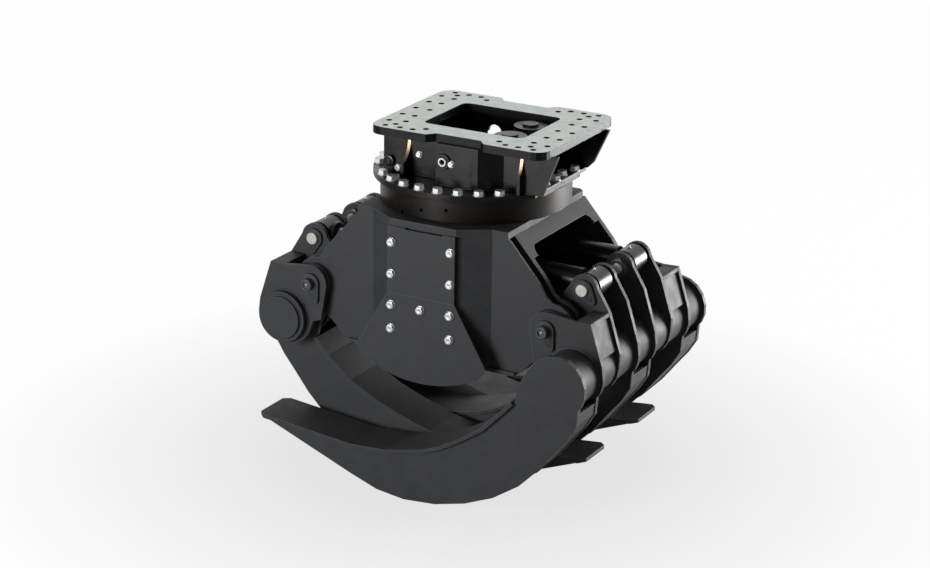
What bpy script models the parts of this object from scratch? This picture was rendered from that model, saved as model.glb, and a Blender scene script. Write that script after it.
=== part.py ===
"""Hydraulic log grapple: slewing head, rotor body, two meshing jaws and two cylinders."""
import math

import bmesh
import bpy
from mathutils import Matrix, Vector

for old in list(bpy.data.objects):
    bpy.data.objects.remove(old)

# Driving sizes, in metres. Heights stack downwards from the mounting face at Z = 0.
pivot_half_span = 0.450      # jaw pivot to the slewing axis
plate_pitch = 0.133          # spacing of the jaw plates along Y
plate_t = 0.016              # jaw plates
gap = 0.0003                 # between faces that touch
overrun = 0.004              # how far a cut runs past its work
mount_t = 0.028              # mounting plate
head_height = 0.142          # mounting plate to base flange
base_t = 0.011               # base flange of the head
race_flange_t = 0.011        # bolting flange of the outer race
race_h = 0.081               # outer race below its flange
rotor_flange_t = 0.024
pivot_drop = 0.270           # underside of the rotor flange to the jaw pivots

cheek_y = 2.5 * plate_pitch
outer_ear_y = 1.5 * plate_pitch
inner_ear_y = 0.5 * plate_pitch
z_base_top = -mount_t - head_height
z_race_top = z_base_top - base_t
z_race_under = z_race_top - race_flange_t
z_rotor_top = z_race_under - race_h
z_pivot = z_rotor_top - rotor_flange_t - pivot_drop
rotor_flange_under = pivot_drop              # heights of the body count from the pivots
rotor_flange_top = pivot_drop + rotor_flange_t

round_sides = 20
small_sides = 12
pin_sides = 16
wide_sides = 40

# Mounting plate
mount_half_x = 0.330
mount_half_y = 0.266
mount_centre_x = 0.059
mount_corner_r = 0.048
window_half_x = 0.188
window_half_y = 0.146
window_corner_r = 0.022
notch_half = 0.109
notch_floor_half = 0.083
notch_depth = 0.030
mount_hole_r = 0.011
# Quarter pattern of the bolt holes, as shares of the plate's half sizes
mount_hole_share = [(0.903, 0.0), (0.740, 0.0), (0.903, 0.338), (0.903, 0.669), (0.758, 0.342),
                    (0.733, 0.620), (0.770, 0.790), (0.842, 0.895), (0.673, 0.891),
                    (0.527, 0.887), (0.418, 0.790)]

# Head below the mounting plate
base_r = 0.350
head_wall_y = base_r - 0.170
head_wall_t = 0.014
head_wall_left = 0.250
head_wall_top_right = 0.405
head_wall_foot_right = 0.350
head_wall_toe = 0.022
port_box_half = 0.079
port_box_depth = 0.058
port_box_centre_x = 0.062
port_box_flank = 0.066       # its right side runs back to the wall on a slant
gusset_t = 0.012
gusset_reach = 0.078
gusset_foot = 0.050
gusset_waist = 0.020
front_gusset_reach = 0.060
front_gusset_drop = 0.094    # below the mounting plate
front_gusset_foot = 0.006
front_gusset_x = (-0.150, 0.275)
rear_gusset_x = (-0.150, 0.062, 0.275)
end_wall_x = -0.236
rear_hole_x = -0.030
rear_hole_r = 0.027
swivel_hole_r = 0.040
base_flat_cut = 0.028
base_flat_x = base_r - base_flat_cut
base_tangent_deg = 50.0
ring_bolt_edge = 0.019
ring_bolt_flat_edge = 0.023
ring_bolt_circle_r = base_r - ring_bolt_edge
ring_bolt_flat_circle_r = base_flat_x - ring_bolt_flat_edge
ring_bolt_count = 30
bolt_af = 0.030              # across flats
bolt_head_h = 0.014
weld_sink = 0.002            # how deep a welded piece runs into its neighbour

# Slewing ring and its drive
race_ledge = 0.037
race_wall = 0.030
race_clear = 0.0025
race_r = base_r - race_ledge
race_bore_r = race_r - race_wall
ring_gear_r = race_bore_r - race_clear
race_running_gap = 0.0005
ring_teeth = 60
ring_rim_modules = 7.4
gear_module = ring_gear_r / (ring_teeth / 2 + ring_rim_modules)
pinion_teeth = 12
gear_backlash = 0.0012
tooth_tip_share = 0.90        # of the module
tooth_root_share = 1.20
tooth_lean_share = 0.33
gear_face_w = 0.060
pinion_face_w = 0.050
motor_lead_teeth = 4         # ring teeth from the centre plane to each pinion
motor_r = 0.057
motor_boss_r = 0.028
motor_boss_h = 0.007
motor_top_drop = 0.012       # motor cover below the mounting face
motor_seat_r = 0.055         # opening that the pinion passes through
motor_flange_r = 0.066
motor_flange_t = 0.014
pinion_shaft_r = 0.016
pinion_shaft_grip = 0.040
swivel_r = 0.062
swivel_foot_r = 0.086
swivel_foot_t = 0.012
swivel_spindle_r = 0.028
swivel_tip_clear = 0.006
swivel_cap_r = 0.058
swivel_cap_t = 0.014
swivel_head_clear = 0.006
swivel_port_r = 0.009

# Rotor body
flange_front_y = 0.367
flange_front_half = 0.127
flange_shoulder_half = 0.227
flange_shoulder_y = 0.303
flange_wing_half = 0.286
flange_rear_chamfer = 0.018
flange_bore_r = 0.048
side_plate_y = 0.256
side_plate_t = 0.020
wing_knee_x = 0.403
wing_knee_z = 0.137
wing_hip_x = 0.432
wing_hip_z = 0.092
hub_r = 0.078
belly_hip_x = 0.433
belly_hip_z = 0.106
belly_knee_x = 0.381
belly_knee_z = 0.144
belly_x = 0.340
belly_z = 0.186
bottom_t = 0.012
bottom_half_x = 0.322
bottom_lip = 0.012
housing_t = 0.010
housing_wing_y = 0.300
cover_t = 0.008
cover_stand = 0.010
cover_spacer_r = 0.014
cover_foot_z = 0.036
cover_slot_left = 0.060
cover_slot_right = 0.080
cover_slot_depth = 0.005
fan_half = 0.249
fan_corner_z = 0.192
fan_drop = 0.267
fan_corner_r = 0.022
cover_bolt_x = 0.112
cover_bolt_z = (0.214, 0.104, -0.005, -0.089)
cover_bolt_af = 0.024
cover_bolt_h = 0.011
cross_t = 0.016
cross_band = 0.054
cross_foot = 0.094
cross_foot_w = 0.030
cross_shoulder_r = 0.030

# Pivots
pin_r = 0.030
boss_r = 0.060
side_clearance = 0.003
pin_stub_r = 0.020
flag_t = 0.010
flag_r = 0.034
flag_toe_r = 0.014
flag_reach = 0.060
pin_stand_out = 0.035
pin_chamfer = 0.003

# Jaw frame, from the jaw's pivot: x outwards, z up
tube_x = 0.106
tube_z = -0.137
tube_r = 0.091
tube_wall = 0.012
tube_stand = 0.025           # left tube beyond the cheeks
tube_cap_r = 0.076
tube_cap_t = 0.012
tube_drain_r = 0.006
root_r = 0.107               # round of the plates about the torque tube
cheek_hub_r = 0.060
cheek_corner_x = 0.162
cheek_corner_z = 0.049
cheek_hip_x = 0.207
cheek_hip_z = -0.090
cheek_top_x = 0.105
cheek_top_z = 0.047
ear_pin_x = 0.0684
ear_pin_z = 0.1125
ear_r = 0.050
ear_pin_r = 0.024
ear_stub_r = 0.021
ear_pin_stand_out = 0.020   # short of the body's side plates
ear_nut_af = 0.060
ear_nut_t = 0.016
ear_thread_r = 0.018
ear_thread_end = 0.008
ear_flag_r = 0.034
ear_flag_reach = 0.047
ear_root_r = 0.099            # the outer ears end inside the left tines
ear_waist_x = 0.020
ear_waist_z = -0.060
box_inset = 0.009
box_t = 0.013
box_foot_share = 0.40        # up the outer edge, above the tine's plates
box_right_foot_share = 0.12   # above the torque tube
skin_t = 0.012
skin_half_w = 0.089
skin_tip_half_w = 0.068
back_inset = 0.003
back_t = 0.012
back_start_share = 0.35       # back skin starts past the ears' rounds
tine_reach = 1.025           # pivot to the tip, inwards
tine_depth = 0.653           # pivot to the lowest point of the back
tine_end_inset = 0.010       # side plates stop short of the tip

# Inner edge of the plates between hub and tine: distances inwards and down from the pivot
cheek_throat = [(0.039, 0.128), (0.030, 0.150), (0.040, 0.180)]
cheek_heel = [(0.039, 0.128), (0.006, 0.140)]
ear_throat = [(0.016, 0.136), (0.034, 0.176)]
tine_throat = [(-0.005, 0.097), (0.016, 0.136), (0.033, 0.176)]

# Grab face and back of a tine, as shares of its reach and depth
right_face_share = [(0.046, 0.325), (0.076, 0.378), (0.154, 0.504), (0.238, 0.593), (0.304, 0.651),
                    (0.367, 0.691), (0.502, 0.737), (0.632, 0.750), (0.827, 0.721), (1.000, 0.694)]
left_face_share = [(-0.012, 0.334), (0.035, 0.420), (0.122, 0.534), (0.220, 0.612), (0.318, 0.670),
                   (0.432, 0.723), (0.540, 0.745), (0.632, 0.750), (0.827, 0.721), (1.000, 0.694)]
back_share = [(-0.1865, 0.302), (-0.182, 0.394), (-0.150, 0.475), (-0.108, 0.556), (-0.054, 0.664),
              (0.018, 0.779), (0.111, 0.876), (0.214, 0.943), (0.325, 0.986), (0.442, 1.000),
              (0.545, 0.979), (0.646, 0.923), (0.842, 0.803), (0.966, 0.727)]

# Cylinders
barrel_r = 0.044
bore_r = 0.036
rod_r = 0.024
eye_r = 0.047
eye_w = 0.090
eye_root = 0.034             # barrel and rod start inside their eyes
barrel_end_t = 0.022
jaw_opening_deg = 60.0
gland_clear = 0.014          # rod eye to gland with the jaws wide open
gland_t = 0.026
gland_r = 0.052
gland_spigot = 0.034
piston_t = 0.040
piston_r = bore_r - gap
seal_w = 0.006
seal_depth = 0.002
eye_neck = 0.012
gland_chamfer = 0.004

finish = {
    "frame": ((0.045, 0.048, 0.052), 0.55, 0.2),
    "gloss": ((0.012, 0.012, 0.014), 0.25, 0.2),
    "ring": ((0.060, 0.052, 0.046), 0.40, 0.4),
    "plate": ((0.42, 0.44, 0.43), 0.45, 0.6),
    "steel": ((0.70, 0.70, 0.70), 0.25, 1.0),
    "chrome": ((0.80, 0.80, 0.82), 0.10, 1.0),
    "gear": ((0.30, 0.30, 0.31), 0.35, 1.0),
    "bronze": ((0.45, 0.30, 0.14), 0.40, 1.0),
}


def bore_for(shaft_r, sides=round_sides):
    """Faceted bore in which a faceted shaft can turn."""
    return (shaft_r + gap) / math.cos(math.pi / sides)


def material_for(name, kind):
    colour, roughness, metallic = finish[kind]
    material = bpy.data.materials.new(name + "_" + kind)
    material.use_nodes = True
    shader = material.node_tree.nodes["Principled BSDF"]
    shader.inputs["Base Color"].default_value = (*colour, 1)
    shader.inputs["Roughness"].default_value = roughness
    shader.inputs["Metallic"].default_value = metallic
    return material


def make(name, bm, kind, parent, smooth=False):
    """Turn a finished bmesh into the named object of one node."""
    bmesh.ops.recalc_face_normals(bm, faces=bm.faces)
    mesh = bpy.data.meshes.new(name)
    bm.to_mesh(mesh)
    bm.free()
    if smooth:
        mesh.shade_smooth()
        mesh.set_sharp_from_angle(angle=math.radians(35))
    mesh.materials.append(material_for(name, kind))
    obj = bpy.data.objects.new(name, mesh)
    obj.parent = parent
    bpy.context.collection.objects.link(obj)
    return obj


def empty(name, location, parent=None):
    obj = bpy.data.objects.new(name, None)
    obj.location = location
    obj.parent = parent
    bpy.context.collection.objects.link(obj)
    return obj


def cut(obj, bm, name, parent, operation="DIFFERENCE"):
    """Boolean one hidden cutter, given as a bmesh, into an object."""
    cutter = make(name, bm, "steel", parent)
    cutter.hide_render = True
    cutter.display_type = "WIRE"
    modifier = obj.modifiers.new(name, "BOOLEAN")
    modifier.operation = operation
    modifier.solver = "EXACT"
    modifier.object = cutter


def arc(x, z, r, start, end, steps):
    """Points of an arc, angles in degrees."""
    angles = [math.radians(start + (end - start) * i / steps) for i in range(steps + 1)]
    return [(x + r * math.cos(a), z + r * math.sin(a)) for a in angles]


def circle(x, z, r, sides=round_sides):
    return arc(x, z, r, 0, 360, sides)[:-1]


def rounded_box(x, y, half_x, half_y, r, steps=4):
    corners = [(1, 1, 0), (-1, 1, 90), (-1, -1, 180), (1, -1, 270)]
    loop = []
    for sx, sy, turn in corners:
        loop += arc(x + sx * (half_x - r), y + sy * (half_y - r), r, turn, turn + 90, steps)
    return loop


def offset_line(points, distance):
    """Mitred offset of an open line, to its left for a positive distance."""
    result = []
    for i, point in enumerate(points):
        here = Vector(point)
        before = (here - Vector(points[i - 1])).normalized() if i else None
        after = (Vector(points[i + 1]) - here).normalized() if i + 1 < len(points) else None
        before = before or after
        after = after or before
        normal = Vector((-before.y - after.y, before.x + after.x)).normalized()
        reach = distance / max(normal.dot(Vector((-before.y, before.x))), 0.3)
        result.append(tuple(here + normal * reach))
    return result


def along(a, b, share):
    return (a[0] + (b[0] - a[0]) * share, a[1] + (b[1] - a[1]) * share)


def add_slab(bm, outline, holes, low, high, axis="Y"):
    """Extrude an outline with holes. Along Y it lies in XZ, along Z in XY."""
    edges = []
    for loop in [outline] + holes:
        if axis == "Y":
            verts = [bm.verts.new((a, low, b)) for a, b in loop]
        else:
            verts = [bm.verts.new((a, b, low)) for a, b in loop]
        for first, second in zip(verts, verts[1:] + verts[:1]):
            edges.append(bm.edges.new((first, second)))
    filled = bmesh.ops.triangle_fill(bm, edges=edges, use_beauty=True, use_dissolve=False)
    faces = [item for item in filled["geom"] if isinstance(item, bmesh.types.BMFace)]
    raised = bmesh.ops.extrude_face_region(bm, geom=faces)
    verts = [item for item in raised["geom"] if isinstance(item, bmesh.types.BMVert)]
    rise = high - low
    bmesh.ops.translate(bm, vec=(0, rise, 0) if axis == "Y" else (0, 0, rise), verts=verts)


def add_turned(bm, profile, matrix, sides=round_sides, closed=False):
    """Turn a profile of (radius, height) about local Z, then place it."""
    rings = []
    for r, h in profile:
        if r == 0:
            rings.append([bm.verts.new(matrix @ Vector((0, 0, h)))])
            continue
        turns = [math.tau * i / sides for i in range(sides)]
        rings.append([bm.verts.new(matrix @ Vector((r * math.cos(t), r * math.sin(t), h)))
                      for t in turns])
    pairs = list(zip(rings, rings[1:]))
    if closed:
        pairs.append((rings[-1], rings[0]))
    for lower, upper in pairs:
        for i in range(sides):
            j = (i + 1) % sides
            corners = [lower[i % len(lower)], lower[j % len(lower)],
                       upper[j % len(upper)], upper[i % len(upper)]]
            loop = []
            for corner in corners:
                if corner not in loop:
                    loop.append(corner)
            bm.faces.new(loop)


def along_y(x, y, z):
    """Local Z runs towards -Y, and local X stays X."""
    return Matrix.Translation((x, y, z)) @ Matrix.Rotation(math.pi / 2, 4, "X")


def along_z(x, y, z):
    return Matrix.Translation((x, y, z))


def add_disc(bm, r, low, high, matrix, sides=round_sides):
    add_turned(bm, [(0, low), (r, low), (r, high), (0, high)], matrix, sides)


def add_tube(bm, outer, inner, low, high, matrix, sides=round_sides):
    profile = [(inner, low), (outer, low), (outer, high), (inner, high)]
    add_turned(bm, profile, matrix, sides, closed=True)


def add_hex(bm, across_flats, low, high, matrix):
    add_disc(bm, across_flats / math.sqrt(3), low, high, matrix, sides=6)


def base_outline(r, flat_x):
    """Round flange that runs out on tangents to one straight side at +X."""
    turn = math.radians(base_tangent_deg)
    run = (flat_x - r * math.cos(turn)) / math.sin(turn)
    corner_y = r * math.sin(turn) - run * math.cos(turn)
    sweep = arc(0, 0, r, base_tangent_deg, 360 - base_tangent_deg, 2 * round_sides)
    return [(flat_x, -corner_y), (flat_x, corner_y)] + sweep


# Head: everything fixed to the carrier
head = empty("head_frame", (0, 0, 0))


def build_mounting_plate():
    cx = mount_centre_x
    right = cx + notch_half
    left = cx - notch_half
    right_floor = cx + notch_floor_half
    left_floor = cx - notch_floor_half
    edge = mount_half_y
    floor = mount_half_y - notch_depth
    corners = rounded_box(cx, 0, mount_half_x, mount_half_y, mount_corner_r)
    quarter = len(corners) // 4
    rear_notch = [(right, edge), (right_floor, floor), (left_floor, floor), (left, edge)]
    front_notch = [(left, -edge), (left_floor, -floor), (right_floor, -floor), (right, -edge)]
    outline = (corners[:quarter] + rear_notch + corners[quarter:3 * quarter]
               + front_notch + corners[3 * quarter:])
    holes = [rounded_box(cx, 0, window_half_x, window_half_y, window_corner_r, 2)]
    for share_x, share_y in mount_hole_share:
        for sx in (-1, 1):
            for sy in (-1, 1) if share_y else (1,):
                x = cx + sx * share_x * mount_half_x
                holes.append(circle(x, sy * share_y * mount_half_y, mount_hole_r, 8))
    bm = bmesh.new()
    add_slab(bm, outline, holes, -mount_t, 0, "Z")
    make("mounting_plate", bm, "plate", head)


def head_wall_outline():
    top = -mount_t - gap
    foot = z_base_top + gap
    return [(-head_wall_left, foot), (head_wall_foot_right - head_wall_toe, foot),
            (head_wall_foot_right, foot + head_wall_toe), (head_wall_top_right, top),
            (-head_wall_left, top)]


def build_head_walls():
    """Front and rear walls with their gussets. The front one steps out around a hose port box."""
    top = -mount_t - gap
    foot = z_base_top + gap
    low = port_box_centre_x - port_box_half
    high = port_box_centre_x + port_box_half
    inner = -head_wall_y
    outer = -head_wall_y - head_wall_t
    front = outer - port_box_depth
    toe = head_wall_foot_right - head_wall_toe
    plan = [(-head_wall_left, outer), (low, outer), (low, front), (high, front),
            (high + port_box_flank, outer), (head_wall_top_right, outer)]
    bm = bmesh.new()
    add_slab(bm, plan + offset_line(plan, head_wall_t)[::-1], [], foot, top, "Z")
    wall = make("head_front_wall", bm, "gloss", head)
    low_edge = (front_gusset_foot, top - front_gusset_drop)
    cut(wall, gussets(-1, front_gusset_x, low_edge, front_gusset_reach), "front_gussets", head,
        "UNION")
    toe_cut = bmesh.new()
    far = head_wall_top_right + overrun
    slope = [(toe, foot - overrun), (toe, foot), (head_wall_foot_right, foot + head_wall_toe),
             (head_wall_top_right, top), (head_wall_top_right, top + overrun),
             (far, top + overrun), (far, foot - overrun)]
    add_slab(toe_cut, slope, [], outer - overrun, inner + overrun)
    cut(wall, toe_cut, "front_wall_toe_cut", head)

    bm = bmesh.new()
    outline = [(-head_wall_left, foot), (toe, foot), (head_wall_foot_right, foot + head_wall_toe),
               (head_wall_top_right, top), (-head_wall_left, top)]
    lift_hole = circle(rear_hole_x, (foot + top) / 2, rear_hole_r, small_sides)
    add_slab(bm, outline, [lift_hole], head_wall_y, head_wall_y + head_wall_t)
    wall = make("head_rear_wall", bm, "gloss", head)
    cut(wall, gussets(1, rear_gusset_x, (gusset_foot, foot), gusset_reach), "rear_gussets", head,
        "UNION")

    bm = bmesh.new()
    end = [(end_wall_x, inner + gap), (end_wall_x + head_wall_t, inner + gap),
           (end_wall_x + head_wall_t, -inner - gap), (end_wall_x, -inner - gap)]
    add_slab(bm, end, [], foot, top, "Z")
    make("head_end_wall", bm, "gloss", head)


def gussets(side, places, low_edge, reach):
    """Webs from a wall out under the mounting plate, with hollowed outer edges."""
    top = -mount_t - gap
    foot_reach, foot = low_edge
    wall_face = head_wall_y + head_wall_t
    start = wall_face - weld_sink
    foot_end = (wall_face + foot_reach, foot)
    waist = (wall_face + min(gusset_waist, foot_reach), (top + foot) / 2)
    tip = (wall_face + reach, top)
    curve = [(start, foot)] + bezier(foot_end, waist, tip, 6) + [(start, top)]
    bm = bmesh.new()
    for x in places:
        near = [bm.verts.new((x - gusset_t / 2, side * y, z)) for y, z in curve]
        far = [bm.verts.new((x + gusset_t / 2, side * y, z)) for y, z in curve]
        bridge(bm, near, far)
    return bm


def bezier(start, control, end, steps):
    points = []
    for i in range(steps + 1):
        t = i / steps
        a = along(start, control, t)
        b = along(control, end, t)
        points.append(along(a, b, t))
    return points


def bridge(bm, near, far):
    """Close two like loops of vertices into one solid."""
    bm.faces.new(near)
    bm.faces.new(list(reversed(far)))
    count = len(near)
    for i in range(count):
        j = (i + 1) % count
        bm.faces.new((near[j], near[i], far[i], far[j]))


def motor_places():
    centre = gear_module * (ring_teeth - pinion_teeth) / 2
    turn = math.tau * motor_lead_teeth / ring_teeth
    x = centre * math.cos(turn)
    y = centre * math.sin(turn)
    return [(x, -y), (x, y)]


def build_base_and_ring():
    """Base flange with its bolt heads, and the fixed race below it."""
    outline = base_outline(base_r, base_flat_x)
    holes = [circle(0, 0, swivel_hole_r)]
    for x, y in motor_places():
        holes.append(circle(x, y, motor_seat_r))
    bm = bmesh.new()
    add_slab(bm, outline, holes, z_race_top + gap, z_base_top, "Z")
    flange = make("base_flange", bm, "gloss", head)
    bolts = bmesh.new()
    wall_mid = head_wall_y + head_wall_t / 2
    room = head_wall_t / 2 + bolt_af / 2 + overrun
    for i in range(ring_bolt_count):
        turn = math.tau * i / ring_bolt_count
        r = ring_bolt_circle_r
        if r * math.cos(turn) > base_flat_x - bolt_af / 2:
            r = ring_bolt_flat_circle_r
        x = r * math.cos(turn)
        y = r * math.sin(turn)
        if abs(abs(y) - wall_mid) < room and x < head_wall_foot_right + bolt_af:
            continue
        add_hex(bolts, bolt_af, z_base_top - weld_sink, z_base_top + bolt_head_h,
                along_z(x, y, 0))
    cut(flange, bolts, "ring_bolts", head, "UNION")

    bm = bmesh.new()
    add_slab(bm, outline, [], z_race_under, z_race_top, "Z")
    race = make("slew_outer_race", bm, "ring", head, smooth=True)
    drum = bmesh.new()
    low = z_rotor_top + race_running_gap
    add_disc(drum, race_r, low, z_race_under + weld_sink, along_z(0, 0, 0), wide_sides)
    cut(race, drum, "race_drum", head, "UNION")
    bore = bmesh.new()
    add_disc(bore, race_bore_r, low - overrun, z_race_top + overrun, along_z(0, 0, 0), wide_sides)
    cut(race, bore, "race_bore", head)


def build_drive():
    """Two slew motors, their pinions and the rotary hose joint."""
    for name, (x, y) in zip(("front", "rear"), motor_places()):
        seat = z_base_top + gap
        top = -motor_top_drop
        grip = seat + pinion_shaft_grip
        socket = bore_for(pinion_shaft_r)
        shoulder = top - motor_boss_h
        profile = [(socket, seat), (motor_flange_r, seat), (motor_flange_r, seat + motor_flange_t),
                   (motor_r, seat + motor_flange_t), (motor_r, shoulder),
                   (motor_boss_r, shoulder), (motor_boss_r, top), (0, top)]
        bm = bmesh.new()
        add_turned(bm, [(0, grip), (socket, grip)] + profile, along_z(x, y, 0))
        make(name + "_slew_motor", bm, "gloss", head, smooth=True)

        axis = empty(name + "_pinion_axis", (x, y, 0), head)
        low = z_rotor_top + (race_h - pinion_face_w) / 2
        high = low + pinion_face_w
        bm = bmesh.new()
        add_slab(bm, gear_outline(pinion_teeth, False), [], low, high, "Z")
        pinion = make(name + "_pinion", bm, "gear", axis)
        pinion.rotation_euler = (0, 0, math.atan2(y, x))
        shaft = bmesh.new()
        add_disc(shaft, pinion_shaft_r, high - weld_sink, grip - gap, along_z(0, 0, 0))
        cut(pinion, shaft, name + "_pinion_shaft", axis, "UNION")

    bm = bmesh.new()
    seat = z_base_top + gap
    neck = swivel_hole_r - gap
    tip = z_rotor_top + swivel_tip_clear
    under = z_race_top - swivel_head_clear / 2
    profile = [(0, tip), (swivel_spindle_r, tip), (swivel_spindle_r, under), (neck, under),
               (neck, seat), (swivel_cap_r, seat), (swivel_cap_r, seat + swivel_cap_t),
               (swivel_port_r, seat + swivel_cap_t), (swivel_port_r, seat), (0, seat)]
    add_turned(bm, profile, along_z(0, 0, 0))
    make("swivel_spindle", bm, "steel", head, smooth=True)


def gear_outline(teeth, internal):
    """Involute-like teeth: straight flanks between named diameters, one tooth centred on +X."""
    pitch_r = gear_module * teeth / 2
    add = gear_module * tooth_tip_share
    root = gear_module * tooth_root_share
    half = math.pi / (2 * teeth) - gear_backlash / (2 * pitch_r)
    lean = gear_module * tooth_lean_share
    points = []
    for i in range(teeth):
        # An internal gear has a tooth space where a pinion has a tooth
        mid = math.tau * i / teeth
        if internal:
            half_in = half - lean / pitch_r
            half_out = half + lean / pitch_r
            r_in = pitch_r - add
            r_out = pitch_r + root
            mid += math.pi / teeth
        else:
            half_in = half + lean / pitch_r
            half_out = half - lean / pitch_r
            r_in = pitch_r - root
            r_out = pitch_r + add
        for r, turn in ((r_in, -half_in), (r_out, -half_out), (r_out, half_out), (r_in, half_in)):
            if internal:
                # Walk the tooth from its root to its tip and back
                r = r_out if r == r_in else r_in
                turn = math.copysign(half_out if r == r_out else half_in, turn)
            points.append((r * math.cos(mid + turn), r * math.sin(mid + turn)))
    return points


build_mounting_plate()
build_head_walls()
build_base_and_ring()
build_drive()


# Rotor: turns with the inner race
rotor = empty("rotor_frame", (0, 0, 0))
body = empty("body_frame", (0, 0, z_pivot), rotor)


def side_outline(margin=0.0):
    """Body side in XZ about the pivot level: shoulders, hubs about the pivots, and belly."""
    right = [(flange_wing_half, rotor_flange_under - gap), (wing_knee_x, wing_knee_z),
             (wing_hip_x, wing_hip_z)]
    right += arc(pivot_half_span, 0, hub_r, 90, -100, 14)
    right += [(belly_hip_x, -belly_hip_z), (belly_knee_x, -belly_knee_z), (belly_x, -belly_z)]
    return right + [(-x, z) for x, z in reversed(right)]


def build_rotor_top():
    front = flange_front_y
    shoulder = flange_shoulder_y
    wing = flange_wing_half
    rear = side_plate_y
    chamfer = flange_rear_chamfer
    outline = [(-flange_front_half, -front), (flange_front_half, -front),
               (flange_shoulder_half, -shoulder), (wing, -shoulder), (wing, rear - chamfer),
               (wing - chamfer, rear), (chamfer - wing, rear), (-wing, rear - chamfer),
               (-wing, -shoulder), (-flange_shoulder_half, -shoulder)]
    bm = bmesh.new()
    add_slab(bm, outline, [circle(0, 0, flange_bore_r)], rotor_flange_under,
             rotor_flange_top - gap, "Z")
    make("rotor_top_flange", bm, "frame", body)

    bm = bmesh.new()
    low = z_rotor_top
    high = z_race_top - race_running_gap
    teeth = gear_outline(ring_teeth, True)
    add_slab(bm, circle(0, 0, ring_gear_r, wide_sides), [teeth], low, high, "Z")
    make("slew_ring_gear", bm, "gear", rotor)

    bm = bmesh.new()
    bore = bore_for(swivel_spindle_r)
    top = z_race_top - swivel_head_clear
    foot_top = low + swivel_foot_t
    profile = [(bore, low), (swivel_foot_r, low), (swivel_foot_r, foot_top),
               (swivel_r, foot_top), (swivel_r, top), (bore, top)]
    add_turned(bm, profile, along_z(0, 0, 0), closed=True)
    make("swivel_housing", bm, "steel", rotor, smooth=True)


def build_side_plates():
    """The two structural plates, each with its pivot bosses welded through."""
    for name, side in (("front", -1), ("rear", 1)):
        outer = side * side_plate_y
        inner = side * (side_plate_y - side_plate_t)
        bm = bmesh.new()
        add_slab(bm, side_outline(), [], min(outer, inner), max(outer, inner))
        plate = make(name + "_side_plate", bm, "frame", body)
        cheek_face = cheek_y - plate_t / 2 - side_clearance
        ear_face = outer_ear_y + plate_t / 2 + side_clearance
        bosses = bmesh.new()
        bores = bmesh.new()
        for x in (-pivot_half_span, pivot_half_span):
            place = along_y(x, 0, 0)
            ends = sorted((-side * cheek_face, -side * ear_face))
            add_disc(bosses, boss_r, ends[0], ends[1], place)
            add_disc(bores, bore_for(pin_r), ends[0] - overrun, ends[1] + overrun, place)
        cut(plate, bosses, name + "_bosses", body, "UNION")
        cut(plate, bores, name + "_boss_bores", body)


def build_cross_plates():
    """Sloping end plates under the shoulders, each with one arched opening for the cylinders."""
    half_y = side_plate_y - side_plate_t - gap
    run = Vector((wing_knee_x - flange_wing_half, 0, wing_knee_z - rotor_flange_under))
    run.normalize()
    out = Vector((-run.z, 0, run.x))
    top = rotor_flange_under - gap
    corner = Vector((flange_wing_half, 0, top))
    for name, side in (("left", -1), ("right", 1)):
        toe = corner + run * cross_foot
        heel = toe - out * cross_t
        inner_top = (flange_wing_half - cross_t / out.x, top)
        outline = [(corner.x, corner.z), (toe.x, toe.z), (heel.x, heel.z), inner_top]
        outline = [(side * x, z) for x, z in outline]
        bm = bmesh.new()
        add_slab(bm, outline, [], -half_y, half_y)
        plate = make(name + "_cross_plate", bm, "frame", body)
        inner_half = half_y - cross_foot_w
        r = cross_shoulder_r
        arch = [(-inner_half, -cross_foot - overrun)]
        arch += arc(-inner_half + r, -cross_band - r, r, 180, 90, 4)
        arch += arc(inner_half - r, -cross_band - r, r, 90, 0, 4)
        arch.append((inner_half, -cross_foot - overrun))
        cutter = bmesh.new()
        add_slab(cutter, arch, [], -cross_t - overrun, overrun, "Z")
        turn = Matrix(((0, side * -run.x, side * out.x, side * corner.x),
                       (1, 0, 0, 0),
                       (0, -run.z, out.z, corner.z),
                       (0, 0, 0, 1)))
        bmesh.ops.transform(cutter, matrix=turn, verts=cutter.verts)
        cut(plate, cutter, name + "_arch", body)


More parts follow.
